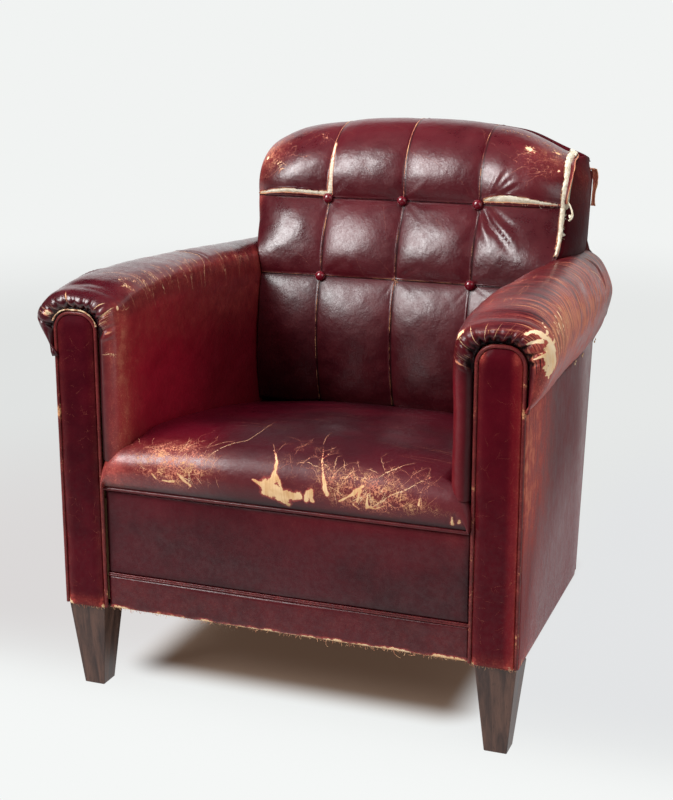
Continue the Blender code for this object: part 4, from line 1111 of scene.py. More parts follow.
def crowded(count, ends):
    # fractions 0 .. 1 that crowd together at the start, the end or both
    t = np.linspace(0, 1, count + 1)
    k = backShape["crowding"]
    if ends == "both":
        return t - k * np.sin(2 * math.pi * t) / (2 * math.pi)
    late = (1 - k) * t + k * np.sin(math.pi * t / 2)
    return late if ends == "end" else 1 - late[::-1]


def fullAt(f):
    # how far a pad stands out across its width: a narrow gully at each seam, nearly flat between
    f = np.clip(f, 0, 1)
    return np.sqrt(np.clip(1 - np.abs(2 * f - 1) ** 3.2, 0, 1)) * (0.72 + 0.28 * np.sin(np.pi * f))


def backGrid():
    shape = backShape
    width = shape["padWidth"]
    padF = crowded(shape["padColumns"], "both")
    # across: the pad's fraction, its number from the left, and whether it is an outer one
    across = np.concatenate([padF[:-1]] * 3 + [padF])
    number = np.repeat(np.arange(4), [shape["padColumns"]] * 3 + [shape["padColumns"] + 1])
    outer = (number == 0) | (number == 3)
    outward = np.where(number == 0, 1 - across, across)
    lowF = crowded(shape["lowRows"], "end")[:-1]
    middleF = crowded(shape["middleRows"], "both")[:-1]
    topF = crowded(shape["topRows"], "start")
    rowA, rowB = shape["rows"]
    rows = [(mixed(shape["bottom"], rowA, f), 0, f) for f in lowF]
    rows += [(mixed(rowA, rowB, f), 1, f) for f in middleF]
    rows += [(rowB, 2, f) for f in topF]
    height = np.array([row[0] for row in rows])[:, None]
    kind = np.array([row[1] for row in rows])[:, None]
    f = np.array([row[2] for row in rows])[:, None]
    half = softTable(shape["halfWidth"], height + np.where(kind == 2, 0.06 * f, 0.0))
    # the cover has slipped a little to the right just above the arms
    right = number == 3
    slipped = 0.006 * bump(height, 0.640, 0.045) - 0.003 * bump(height, 0.77, 0.05) * (number == 0)
    pulled = 0.010 * bump(height, 0.690, 0.050) + 0.006 * bump(height, 0.652, 0.020)
    pulled = pulled + 0.004 * easeStep(0.70, 0.74, height)
    slipped = slipped + right * pulled * (1 - 0.9 * (kind == 2) * easeStep(0.3, 0.8, f))
    x = np.where(outer, np.where(number == 0, -1, 1) * mixed(width, half, outward) + slipped * outward ** 2,
                 np.where(number == 1, -width * (1 - across), width * across))
    x = x - 0.003 * easeStep(0.66, 0.74, height)
    free = easeStep(0.635, 0.700, height) + 0.15
    edge = shape["edgeTurn"] * free * np.where(outer, outward, 0.0) ** 4
    hollow = 0.012 * (x / 0.25) ** 2
    crest = crestAt(x)
    turn = math.radians(shape["crestTurn"]) * f
    reach = (1 - np.cos(turn)) / (1 - math.cos(math.radians(shape["crestTurn"])))
    planeY = softTable(shape["plane"], height) - hollow + edge
    y = np.where(kind == 2, mixed(shape["plane"][-1][1] - hollow + edge, shape["crestDepth"], reach), planeY)
    z = np.where(kind == 2, height + (crest - height) * np.sin(turn), height)
    # seams and all, each row of pads leans out between its rows of buttons
    low, middle, top = shape["ridge"]
    lean = np.select([kind == 0, kind == 1], [low * np.sin(np.pi * f) ** 0.8, middle * np.sin(np.pi * f)],
                     top * np.sin(np.pi * np.clip(f * 1.2, 0, 1)))
    y = y - lean * np.where(outer, 1 - 0.5 * outward ** 2, 1.0)
    base = np.stack(np.broadcast_arrays(x, y, z), axis=-1)
    up = np.select([kind == 0, kind == 1], [fullAt(0.30 + 0.70 * f), fullAt(f)], fullAt(f) * (1 - 0.65 * f))
    # beside the arms the outer pads run on full; above them they round off to the edge
    squeezed = fullAt(np.where(number == 0, 1 - 0.58 * outward, 0.58 * outward))[None, :]
    profile = np.where(outer, mixed(squeezed, fullAt(across)[None, :], easeStep(0.610, 0.690, height)),
                       fullAt(across)[None, :])
    swell = shape["fullness"] * profile * up * np.where(outer, 0.85, 1.0)
    flatV = np.concatenate([[0], np.cumsum(np.linalg.norm(np.diff(base, axis=0), axis=-1).mean(axis=1))])
    flat = np.stack(np.broadcast_arrays(base[..., 0], flatV[:, None]), axis=-1)
    rowStarts = (len(lowF), len(lowF) + len(middleF))
    return base, swell, flat, rowStarts


def onSheet(grid, flat, u, v):
    # the point of a grid at a place on its flat pattern, whose rows keep one v each
    rowAt = np.interp(v, flat[:, 0, 1], np.arange(len(grid)))
    low = np.clip(np.floor(rowAt).astype(int), 0, len(grid) - 2)
    part = rowAt - low
    points = []
    for i, f, x in zip(low, part, np.broadcast_to(u, np.shape(v))):
        pair = [np.array([np.interp(x, flat[k, :, 0], grid[k, :, axis]) for axis in range(3)])
                for k in (i, i + 1)]
        points.append(mixed(pair[0], pair[1], f))
    return np.array(points)


# tears at the seams of the inside back: points (u, v) on the flat pattern and half widths along them
backTears = {
    "leftRow": ([(-0.279, 0.3860), (-0.255, 0.3915), (-0.225, 0.3945), (-0.190, 0.3930), (-0.160, 0.3905),
                 (-0.141, 0.3900)], (0.0006, 0.0022, 0.0027, 0.0024, 0.0020, 0.0026)),
    "leftSeam": ([(-0.1405, 0.3900), (-0.1395, 0.4050), (-0.1385, 0.4300), (-0.1385, 0.4550),
                  (-0.1390, 0.4780)],
                 (0.0040, 0.0032, 0.0022, 0.0013, 0.0004)),
    "rightRow": ([(0.148, 0.3900), (0.165, 0.3935), (0.190, 0.3955), (0.220, 0.3950), (0.250, 0.3920),
                  (0.274, 0.3895)], (0.0012, 0.0040, 0.0046, 0.0038, 0.0026, 0.0010)),
}
backWear = {
    "tearDepth": 0.0075,
    "edgeTear": (0.655, 0.822),
    "edgeWidths": (0.0008, 0.0022, 0.0030, 0.0034, 0.0038, 0.0038, 0.0040, 0.0028),
    "edgeInset": 0.0035,
    "lip": 0.0011,
    "seamRidge": 0.0011,
}


def backFolds(rowV):
    # drag lines that run from the buttons, as (points, width, height)
    lowV, highV = rowV
    fan = mmLines((5.5, -4.8, 146, -8, 163, -35, 188, -62, 214, -92),
                  (5, 3.4, 152, -6, 176, -34, 203, -60, 220, -80),
                  (5, -2.6, 158, -4, 188, -30, 215, -48), (6, 2.6, 144, -12, 152, -45, 172, -80), ends=2)
    folds = [(points + (0, highV), width, height) for points, width, height in fan]
    for heading in np.radians((38, 50, 62)):
        c, s = math.cos(heading), math.sin(heading)
        folds.append(([onward(0.146, highV, heading, 0.012), onward(0.146, highV, heading, 0.075)],
                      0.0038, 0.0022))
        folds.append(([(0.150 + 0.016 * c, highV + 0.010 * s), (0.152 + 0.070 * c, highV + 0.068 * s)],
                      0.0032, -0.0020))
    dice = np.random.RandomState(31)
    for v in (lowV, highV):
        for u in (-0.139, 0.0, 0.139):
            for quarter in (40, 130, 220, 320):
                heading = math.radians(quarter + dice.uniform(-22, 22))
                length = dice.uniform(0.030, 0.062)
                folds.append(([onward(u, v, heading, 0.008), onward(u, v, heading, length)],
                              dice.uniform(0.003, 0.006),
                              dice.choice((-1, 1)) * dice.uniform(0.0006, 0.0014)))
    return folds


def back():
    base, swell, flat, rowStarts = backGrid()
    normals = -gridNormals(base)
    u, v = flat[..., 0], flat[..., 1]
    rowV = (flat[rowStarts[0], 0, 1], flat[rowStarts[1], 0, 1])
    grid = base + normals * swell[..., None]
    sag = softNoise(grid, 16.0) * 0.0016 + softNoise(grid, 55.0) * 0.0005
    sag = sag * np.clip(swell / 0.01, 0, 1) + wrinkles(flat, backFolds(rowV)) * np.clip(swell / 0.004, 0, 1)
    # lapped seams: a low ridge on one side of each seam
    lapped = sum(bump(u, seam - 0.0016, 0.0013) for seam in (-0.139, 0.0, 0.139))
    lapped = lapped + sum(bump(v, row + 0.0016, 0.0014) for row in rowV)
    grid = grid + normals * (sag + backWear["seamRidge"] * lapped)[..., None]
    whole = grid.copy()

    low, high = backWear["edgeTear"]
    edgeRows = np.linspace(low, high, 8)
    edgeU = np.interp(edgeRows, base[:, -1, 2], base[:, -1, 0]) - backWear["edgeInset"]
    edgeU = edgeU - 0.006 * easeStep(0.785, 0.82, edgeRows)
    edgeLine = list(zip(edgeU, np.interp(edgeRows, base[:, -1, 2], v[:, 0])))
    tears = dict(backTears, edge=(edgeLine, backWear["edgeWidths"]))
    hole = np.zeros(u.shape)
    lip = np.zeros(u.shape)
    ragged = softNoise(np.stack([u, v, 0 * u], axis=-1), 260.0) * 0.0006
    for points, widths in tears.values():
        near, _, along = nearLine(flat, points)
        width = np.interp(along, np.linspace(0, 1, len(widths)), widths) + ragged
        hole = np.maximum(hole, 1 - easeStep(0.65, 1.15, near / np.maximum(width, 1e-5)))
        lip = np.maximum(lip, bump(near - width, 0.0012, 0.0016) * (widths[0] > 0))
    grid = grid + normals * (backWear["lip"] * lip * (1 - hole) - backWear["tearDepth"] * hole)[..., None]
    obj = closedSheet("backLeather", grid, flat, backMarks(flat, rowV, lip, hole), leather)
    settle(obj, "oxblood_leather", "back_cover", "back_stuffing")
    return whole, flat, rowStarts, tears


def backMarks(flat, rowV, lip, hole):
    u, v = flat[..., 0], flat[..., 1]
    lowV, highV = rowV
    inLow, inTop = v < lowV, v > highV
    fold = np.zeros(u.shape)
    seamFolds = ((-0.139, 0.80, 0.66, 0.62), (0.0, 0.78, 0.62, 0.70), (0.139, 0.64, 0.50, 0.40))
    for seam, top, middle, low in seamFolds:
        strength = np.where(inTop, top, np.where(inLow, low, middle))
        fold = np.maximum(fold, strength * bump(u, seam - 0.0012, 0.0010))
    fold = np.maximum(fold, 0.86 * bump(v, lowV + 0.0012, 0.0010) * (0.6 + 0.4 * easeStep(0.20, 0.0, u)))
    fold = np.maximum(fold, 0.50 * bump(v, highV + 0.0012, 0.0010))
    fold = np.maximum(fold, 0.95 * lip * (1 - hole))
    # painted shade: a dark line in the gully beside each lapped seam
    gully = sum(bump(u, seam + 0.0014, 0.0014) for seam in (-0.139, 0.0, 0.139))
    gully = gully + sum(bump(v, row - 0.0014, 0.0015) for row in rowV)
    lines = [([(-0.255, 0.455), (-0.238, 0.438), (-0.226, 0.428)], 0.0008),
             ([(-0.249, 0.448), (-0.235, 0.446), (-0.222, 0.437)], 0.0006)]
    dice = np.random.RandomState(12)
    roots = []
    scuffed = ((-0.250, 0.470, 0.022, 0.045, 26), (0.235, 0.485, 0.040, 0.045, 26),
               (-0.18, 0.50, 0.05, 0.03, 8))
    for middleU, middleV, spreadU, spreadV, count in scuffed:
        for _ in range(count):
            roots.append((middleU + dice.uniform(-1, 1) * spreadU, middleV + dice.uniform(-1, 1) * spreadV,
                          dice.uniform(0, 360), dice.uniform(0.02, 0.05), dice.uniform(0.00018, 0.00038)))
    lines += branching(roots, 12)
    for _ in range(26):
        a = dice.uniform(-0.24, 0.20)
        b = dice.uniform(0.40, 0.53) if dice.rand() < 0.7 else dice.uniform(0.25, 0.38)
        turn, length = math.radians(dice.uniform(-75, -20)), dice.uniform(0.02, 0.08)
        c, k = math.cos(turn), math.sin(turn)
        lines.append(([(a, b), (a + 0.5 * length * c, b + 0.5 * length * k + 0.002),
                       (a + length * c, b + length * k)], 0.00012))
    for a, b in ((0.2147, 0.4945), (0.2560, 0.5240)):
        for heading in (10, 75, 150, 215, 290):
            lines.append(([(a, b), onward(a, b, math.radians(heading), 0.011)], 0.0011))
    marks = lineMarks(flat, lines)
    corner = bump(u, -0.262, 0.030) * bump(v, 0.475, 0.055)
    rightCorner = bump(u, 0.255, 0.045) * bump(v, 0.50, 0.05)
    leftEdge = bump(u, -0.279, 0.008)
    rub = 0.04 + 0.28 * corner + 0.22 * rightCorner + 0.35 * leftEdge * (v > 0.3)
    # the lower row of pads is painted duller and darker, most at its left beside the left arm (painted
    # shade); the crimson in the top row at the right is the hide's own colour
    lively = np.where(inLow, 0.02 + 0.15 * easeStep(-0.12, 0.0, u), 0.22) + 0.25 * bump(u, 0.22, 0.06) * inTop
    grey = 0.25 * bump(u, -0.03, 0.12) * bump(v, 0.30, 0.08)
    bare = blotches(flat, ((0.2147, 0.4945, 0.0035, 0.0045, 30), (0.2200, 0.4920, 0.0050, 0.0022, 0),
                           (0.2090, 0.4960, 0.0040, 0.0018, 20), (0.2560, 0.5240, 0.0040, 0.0030, 40),
                           (-0.2700, 0.4650, 0.0020, 0.0040, 10), (0.2680, 0.4700, 0.0016, 0.0030, 0)))
    marks.update(fold=fold, rub=rub, bare=bare, grime=np.clip(0.75 * gully, 0, 0.85) * (1 - lip),
                 crackle=0.55 * corner + 0.30 * rightCorner, matt=0.4 * rightCorner + grey + 0.30 * inLow,
                 lively=lively)
    return marks


backSurface, backFlat, backRowStarts, tornSeams = back()


def waddingStrip(name, points, widths, lift):
    # lumpy cotton that fills a tear, seated a little below the leather
    points = np.asarray(points, float)
    steps = np.linalg.norm(np.diff(points, axis=0), axis=-1)
    run = np.concatenate([[0], np.cumsum(steps)])
    count = stepsFor(run[-1], 0.0016)
    t = np.linspace(0, run[-1], count + 1)
    middle = np.stack([np.interp(t, run, points[:, k]) for k in (0, 1)], axis=-1)
    heading = np.gradient(middle, axis=0)
    heading /= np.linalg.norm(heading, axis=-1, keepdims=True)
    across = np.stack([-heading[:, 1], heading[:, 0]], axis=-1)
    half = np.interp(t / run[-1], np.linspace(0, 1, len(widths)), widths) * 1.45 + 0.0012
    w = np.linspace(-1, 1, 17)
    flat = middle[:, None] + across[:, None] * (half[:, None] * w[None, :])[..., None]
    grid = onSheet(backSurface, backFlat, flat[..., 0].ravel(),
                   flat[..., 1].ravel()).reshape(flat.shape[:2] + (3,))
    normals = gridNormals(grid)
    normals *= np.where(normals[..., 1:2] > 0, -1, 1)
    lumps = softNoise(grid, 150.0) * 0.0005 + softNoise(grid, 480.0) * 0.0004
    dome = lift * np.sqrt(np.clip(1 - w ** 2, 0, 1))[None, :] - 0.0024
    outer = grid + normals * (dome + lumps * (1 - np.abs(w) ** 4))[..., None]
    lining = grid - normals * 0.0062
    turned = float(np.sum(gridNormals(grid) * normals)) > 0
    settle(closedSheet(name, outer, flat, {}, wadding, lining=lining, outward=1 if turned else -1), "wadding")


for key, (points, widths) in tornSeams.items():
    waddingStrip(f"tornWadding{key[0].upper()}{key[1:]}", points, widths, 0.0046 if key == "edge" else 0.0034)
print("back made")


def panelGrid():
    # rows up the facing; each row is as wide as the rounded top leaves it
    shape = panelShape
    welt = 2 * shape["weltRadius"] + body["gap"]
    half = shape["width"] / 2 - welt
    corner = shape["corner"] - welt
    top = shape["top"] - welt
    bottom = body["bottomFront"]
    straight = stepsFor(top - corner - bottom, shape["spacing"])
    heights = np.linspace(bottom, top - corner, straight + 1)
    turn = np.linspace(0, math.pi / 2, 17)[1:]
    heights = np.concatenate([heights, top - corner + corner * np.sin(turn)])
    halves = np.concatenate([np.full(straight + 1, half), half - corner * (1 - np.cos(turn))])
    across = np.linspace(-1, 1, 25)
    across = np.sign(across) * (1 - (1 - np.abs(across)) ** 1.25)
    x = halves[:, None] * across
    z = np.broadcast_to(heights[:, None], x.shape)
    sideways = half - np.abs(x)
    above = np.maximum(z - (top - corner), 0)
    inCorner = corner - np.hypot(np.maximum(np.abs(x) - (half - corner), 0), above)
    edge = np.where(above > 0, np.minimum(inCorner, top - z), sideways)
    edge = np.minimum(edge, (z - bottom) * 1.6 + 0.004)
    rise = 1 - (1 - np.clip(edge / 0.020, 0, 1)) ** 2.6
    y = -0.0012 - (shape["crown"] - 0.0012) * rise
    middle = body["frontHalfWidth"] - shape["width"] / 2
    return np.stack([x + middle, y, z], axis=-1)


def armPanel(side):
    sign = hands[side]
    grid = panelGrid()
    flat = np.stack([grid[..., 0], grid[..., 2]], axis=-1)
    lining = grid.copy()
    lining[..., 1] = panelShape["back"]
    dents = softNoise(grid + (0, 0, 5 + sign), 16.0) * 0.0009 + softNoise(grid + sign, 52.0) * 0.0003
    grid[..., 1] += dents
    obj = closedSheet(f"armFacing{side.capitalize()}", grid, flat, panelWear(side, flat), facingLeather,
                      lining=lining, hand=hands[side])
    settle(obj, "oxblood_leather", f"arm_panel_{side}")


def panelWear(side, flat):
    x, z = flat[..., 0], flat[..., 1]
    outer = easeStep(0.345, 0.364, x)
    inner = 1 - easeStep(0.300, 0.314, x)
    foot = 1 - easeStep(0.144, 0.172, z)
    high = easeStep(0.30, 0.55, z)
    dice = np.random.RandomState(41 if side == "left" else 42)
    lines = []
    for _ in range(60):
        a, b = dice.uniform(0.300, 0.360), dice.uniform(0.17, 0.58)
        turn, length = dice.uniform(0, math.pi), dice.uniform(0.003, 0.016)
        lines.append(([(a, b), onward(a, b, turn, length)], 0.00010))
    marks = lineMarks(flat, lines)
    right = side == "right"
    # painted highlight: lighter spots at the two rounded top corners of the facing, where they catch the
    # light
    cornerHighlight = bump(z, 0.603, 0.008) * (bump(x, 0.307, 0.005) + 1.2 * bump(x, 0.357, 0.005))
    edge = easeStep(0.3585, 0.366, x)
    rub = 0.02 + 0.3 * foot + 0.10 * outer + 0.10 * inner
    if right:
        rub = rub + 0.10 * outer + 0.65 * edge + 0.9 * cornerHighlight
    marks.update({"rub": rub, "crackle": 0.15 * foot,
                  "lively": 0.30 + 1.15 * outer if right else 0.18 * (1 - 0.5 * high),
                  "matt": mixed(0.55, 0.90, high) if right else mixed(0.65, 1.0, high),
                  "bare": np.maximum(0.62 * foot * outer, 0.5 * foot * inner)})
    return marks


facingLeather = leatherLook("facingLeather", dull=0.04, shine=0.03)
weltLeather = leatherLook("weltLeather", flush=0.15, dull=0.14, shine=0.15)
for side in hands:
    armPanel(side)


def frontPanel(name, node, span, depth, bulge, wear):
    # a leather panel that faces the front, a little full in its middle
    half = frontShape["halfWidth"]
    low, high = span
    width, height = 2 * half, high - low
    u = np.linspace(0, 1, stepsFor(width, frontShape["spacing"]) + 1)[None, :]
    v = np.linspace(0, 1, stepsFor(height, frontShape["spacing"]) + 1)[:, None]
    x = np.broadcast_to(-half + width * u, (v.size, u.size))
    z = np.broadcast_to(low + height * v, x.shape)
    grid = np.stack([x, np.full_like(x, depth), z], axis=-1)
    lining = grid + (0, body["leather"], 0)
    lift = bulge * np.clip(4 * u * (1 - u) * 4 * v * (1 - v), 0, 1) ** 0.5
    grid[..., 1] -= lift + softNoise(grid, 8.0) * 0.0012 * np.minimum(1, lift / 0.001)
    flat = np.stack(np.broadcast_arrays(u * width, v * height), axis=-1)
    obj = closedSheet(name, grid, flat, wear(flat, width, height), frontLeather, lining=lining)
    settle(obj, "oxblood_leather", node)


frontShape = {
    "halfWidth": 0.2940,
    "apron": (0.2025, 0.3394),
    "apronDepth": 0.006,
    "apronBulge": 0.0052,
    "band": (0.1440, 0.1960),
    "bandDepth": 0.005,
    "doubleWelt": (0.1984, 0.2013),
    "seatWelt": 0.343,
    "spacing": 0.0035,
}


def apronWear(flat, width, height):
    u, v = flat[..., 0] / width, flat[..., 1] / height
    cloud = softNoise(np.stack([flat[..., 0] * 0.35, 0 * u, flat[..., 1]], axis=-1), 28.0)
    # painted shade along the bottom edge over the double welt and at both ends beside the facings
    upper = easeStep(0.55, 1.05, v + 0.10 * cloud)
    edge = 1 - easeStep(0.01, 0.10, v) * easeStep(0.002, 0.03, u) * (1 - easeStep(0.975, 0.998, u))
    return {"rub": 0.02 + 0.08 * upper * easeStep(0.5, 1.0, u + 0.2 * cloud), "grime": 0.35 * edge,
            "lively": 0.10 + 0.38 * upper * (0.5 + 0.5 * easeStep(0.3, 1.0, u)), "matt": 0.35 + 0.2 * cloud}


def bandWear(flat, width, height):
    u, v = flat[..., 0] / width, flat[..., 1] / height
    ragged = softNoise(np.stack([flat[..., 0], 0 * u, flat[..., 1]], axis=-1), 70.0)
    foot = 1 - easeStep(0.01, 0.10 + 0.05 * ragged, v)
    return {"rub": 0.08 + 0.4 * foot, "bare": (0.52 + 0.14 * ragged + 0.12 * easeStep(0.2, 0.4, u)) * foot,
            "crackle": 0.1 * foot, "lively": 0.15, "matt": 0.25}


frontPanel("frontApron", "apron", frontShape["apron"], frontShape["apronDepth"], frontShape["apronBulge"],
           apronWear)
frontPanel("lowerBand", "lower_band", frontShape["band"], frontShape["bandDepth"], 0.002, bandWear)
print("front leather made")


sideShape = {
    "front": 0.0045,
    "rearGap": 0.0045,
    "corner": 0.022,
    "bulge": 0.0035,
    "spacing": 0.0045,
}


def sidePanel(side):
    sign = hands[side]
    seamFront = armShape["seamFront"][side]
    across = stepsFor(0.66, sideShape["spacing"])
    up = stepsFor(0.42, sideShape["spacing"])
    u = np.linspace(0, 1, across + 1)[None, :]
    v = np.linspace(0, 1, up + 1)[:, None]
    depth = np.broadcast_to(sideShape["front"] + 0.65 * u, (up + 1, across + 1))
    corner = sideShape["corner"]
    footZ = bottomZ(body["rearFootDepth"])
    for _ in range(6):
        # the upper edge follows the nailed seam and the rear edge leans with the frame
        seam = mixed(seamFront, armShape["seamRear"], depth / body["rearKnee"][0]) - 0.0015
        z = mixed(bottomZ(depth), seam, v)
        drop = np.clip(corner - (z - footZ), 0, corner)
        rear = rearDepth(z) - sideShape["rearGap"] - corner + np.sqrt(corner ** 2 - drop ** 2)
        depth = mixed(sideShape["front"], rear, u)
    x = sideX(depth)
    grid = np.stack([x, depth, z], axis=-1)
    lining = grid - np.array((body["leather"], 0, 0))
    lift = sideShape["bulge"] * np.clip(4 * u * (1 - u) * 4 * v * (1 - v), 0, 1) ** 0.5
    lift = lift + softNoise(grid + sign * 2, 7.0) * 0.0022 * np.minimum(1, lift / 0.0012)
    grid = grid + np.stack([lift, 0 * lift, 0 * lift], axis=-1)
    flat = np.stack([depth, z], axis=-1)
    obj = closedSheet(f"sideLeather{side.capitalize()}", grid, flat, sideWear(flat), sideLeather,
                      lining=lining, hand=sign)
    settle(obj, "worn_leather", f"side_panel_{side}")


def sideWear(flat):
    depth, z = flat[..., 0], flat[..., 1]
    front = 1 - easeStep(0.02, 0.30, depth)
    low = 1 - easeStep(0.10, 0.20, z)
    rear = easeStep(0.50, 0.66, depth)
    high = easeStep(0.24, 0.42, z)
    seamSide = 1 - easeStep(0.02, 0.16, depth)
    # painted sheen: low down, and higher up away from the front, the base is painted a redder, lighter
    # crimson under the broad reflection; matt drops there too, so the real reflection shows
    sheen = 1 - easeStep(0.20, 0.40, z + 0.16 * seamSide)
    return {"rub": 0.10 + front * (0.22 + 1.08 * high), "streak": 0.10 + 0.26 * front * (0.35 + 0.65 * high),
            "crackle": 0.12 * low, "bare": 0.45 * front * low,
            "lively": 0.45 + 0.55 * seamSide * (1 - high) + 0.65 * sheen + 0.3 * rear,
            "matt": (1 - 0.75 * rear) * (1 - 0.50 * sheen)}


sideLeather = leatherLook("sideLeather", dull=0.08, shine=0.18)
for side in hands:
    sidePanel(side)
print("sides made")


borderShape = {
    "startHeight": 0.640,
    "rearHalf": 0.2985,
    "columns": 16,
    "crestDrop": 0.013,
    "bulge": (0.013, 0.006),
}


def backBorder():
    # the boxing strip: up the right edge of the inside back, over the crest and down the left one
    surface = backSurface
    first = int(np.argmax(surface[:, -1, 2] > borderShape["startHeight"]))
    right = surface[first:-1, -1]
    crest = surface[-1, ::-1]
    left = surface[first:-1, 0][::-1]
    line = np.concatenate([right, crest, left])
    keep = (len(line) - 1) // 4 * 4 + 1
    line = line[np.round(np.linspace(0, len(line) - 1, keep)).astype(int)]
    crestRow = np.isclose(line[:, 2], np.interp(line[:, 0], surface[-1, :, 0], surface[-1, :, 2]), atol=1e-4)
    sign = np.sign(line[:, 0] + 1e-6)
    rise = np.clip((line[:, 2] - 0.77) / 0.046, 0, 1)
    sideFront = line + np.stack([sign * 0.001, np.full_like(sign, 0.0036), 0 * sign], axis=-1)
    sideZ = line[:, 2] - 0.014 * rise
    sideRear = np.stack([sign * (borderShape["rearHalf"] - 0.006 * rise), rearDepth(sideZ) - 0.0036, sideZ],
                        axis=-1)
    sideOut = np.stack([sign * mixed(*borderShape["bulge"], rise), 0 * rise, 0.006 * rise], axis=-1)
    crestFront = line + (0, 0.0036, 0)
    crestZ = crestAt(line[:, 0]) - borderShape["crestDrop"]
    crestRear = np.stack([line[:, 0] * 1.03, rearDepth(crestZ) - 0.0036, crestZ], axis=-1)
    crestOut = np.stack([sign * 0.010 * (np.abs(line[:, 0]) / 0.284) ** 4, 0 * crestZ,
                         np.full_like(crestZ, 0.005)],
                        axis=-1)
    onCrest = crestRow[:, None]
    front = np.where(onCrest, crestFront, sideFront)
    rear = np.where(onCrest, crestRear, sideRear)
    out = np.where(onCrest, crestOut, sideOut)
    f = np.linspace(0, 1, borderShape["columns"] + 1)[None, :, None]
    grid = mixed(front[:, None], rear[:, None], f) + out[:, None] * (1 - (2 * f - 1) ** 2)
    run = np.concatenate([[0], np.cumsum(np.linalg.norm(np.diff(front, axis=0), axis=-1))])
    flat = np.stack(np.broadcast_arrays(run[:, None], f[..., 0] * 0.08), axis=-1)
    grid = grid + gridNormals(grid) * (softNoise(grid, 20.0) * 0.0010)[..., None]
    obj = closedSheet("backBoxing", grid, flat, borderWear(flat), facingLeather)
    settle(obj, "oxblood_leather", "back_border")


def borderWear(flat):
    # the whole strip is painted a little darker (painted shade); the scuffs near its right top are wear
    rightTop = bump(flat[..., 0], 0.16, 0.05)
    return {"rub": 0.04 + 0.25 * rightTop, "crackle": 0.2 * rightTop, "lively": 0.20, "matt": 1.2,
            "grime": 0.25}


backBorder()


outsideBackShape = {
    "edge": ((0.078, 0.0), (0.20, 0.0), (0.35, 0.0), (0.486, 0.0), (0.505, 0.010), (0.530, 0.022),
             (0.565, 0.029), (0.590, 0.025), (0.615, 0.010), (0.632, -0.005), (0.644, -0.017),
             (0.652, -0.0215), (0.70, -0.0205), (0.77, -0.0190)),
    "crestDrop": 0.012,
}


def outsideBack():
    edge = np.array(outsideBackShape["edge"])
    rows = np.linspace(edge[0, 0], edge[-1, 0], 153)
    out = np.interp(rows, edge[:, 0], edge[:, 1])
    half = sideX(rearDepth(rows)) + out
    u = np.linspace(-1, 1, 89)
    x = half[:, None] * u
    z = np.broadcast_to(rows[:, None], x.shape)
    topX = half[-1] * u
    f = np.linspace(0, 1, 17)[1:, None]
    topZ = mixed(rows[-1], crestAt(topX) - outsideBackShape["crestDrop"], f)
    x = np.concatenate([x, np.broadcast_to(topX, topZ.shape)])
    z = np.concatenate([z, topZ])
    grid = np.stack([x, rearDepth(z), z], axis=-1)
    lining = grid - (0, body["leather"], 0)
    inside = np.clip(4 * (1 - np.abs(u)), 0, 1)[None, :] * np.clip((z - 0.08) / 0.06, 0, 1)
    grid[..., 1] += (0.002 + softNoise(grid, 6.0) * 0.0020) * inside
    flat = np.stack([x, z], axis=-1)
    low = 1 - easeStep(0.08, 0.16, z)
    marks = {"rub": 0.20 + 0.3 * low, "crackle": 0.15 * low, "streak": 0.1, "matt": 0.7}
    obj = closedSheet("outsideBack", grid, flat, marks, sideLeather, lining=lining, outward=1)
    settle(obj, "worn_leather", "outside_back")


outsideBack()
print("boxing and outside back made")


def weltTree():
    # a piping cord swept along a path, a little uneven, its two ends closed
    book = GrowBook("pipedWelt", {"Radius": ("Float", 0.003), "Lump": ("Float", 0.0002),
                                  "Worn": ("Float", 0.3),
                                  "Look": ("Material", None)})
    curve = book.node("GeometryNodeMeshToCurve", {"Mesh": book.given("Geometry")})
    curve = book.node("GeometryNodeResampleCurve", {"Curve": curve, "Length": 0.003}, mode="LENGTH")
    ring = book.node("GeometryNodeCurvePrimitiveCircle", {"Resolution": 10, "Radius": book.given("Radius")})
    tube = book.node("GeometryNodeCurveToMesh", {"Curve": curve, "Profile Curve": ring, "Fill Caps": True})
    place = book.node("GeometryNodeInputPosition")
    wave = book.node("ShaderNodeTexNoise", {"Vector": place, "Scale": 70.0, "Detail": 2.0})
    out = book.node("GeometryNodeInputNormal")
    push = book.vectorMaths("SCALE", {0: out, "Scale": (wave - 0.5) * book.given("Lump") * 2.0})
    tube = book.node("GeometryNodeSetPosition", {"Geometry": tube, "Offset": push})
    wear = book.node("ShaderNodeTexNoise", {"Vector": place, "Scale": 26.0, "Detail": 3.0})
    for mark, value in (("fold", wear + book.given("Worn") - 0.45), ("rub", book.given("Worn"))):
        tube = book.node("GeometryNodeStoreNamedAttribute", {"Geometry": tube, "Name": mark, "Value": value},
                         data_type="FLOAT", domain="POINT")
    return book.end(tube, book.given("Look"))


piping = weltTree()


def welt(name, runs, radius, worn, slot, *nodesReplaced, look=None, lump=0.0002):
    obj = grown(name, pathMesh(name, runs), piping, Radius=radius, Worn=worn, Lump=lump,
                Look=look or weltLeather)
    settle(obj, slot, *nodesReplaced)


def roundedTop(half, top, bottom, corner, steps=12):
    points = [(half, bottom)]
    for start, x in ((0.0, half - corner), (math.pi / 2, corner - half)):
        for k in range(steps + 1):
            angle = start + math.pi / 2 * k / steps
            points.append((x + corner * math.cos(angle), top - corner + corner * math.sin(angle)))
    return points + [(-half, bottom)]


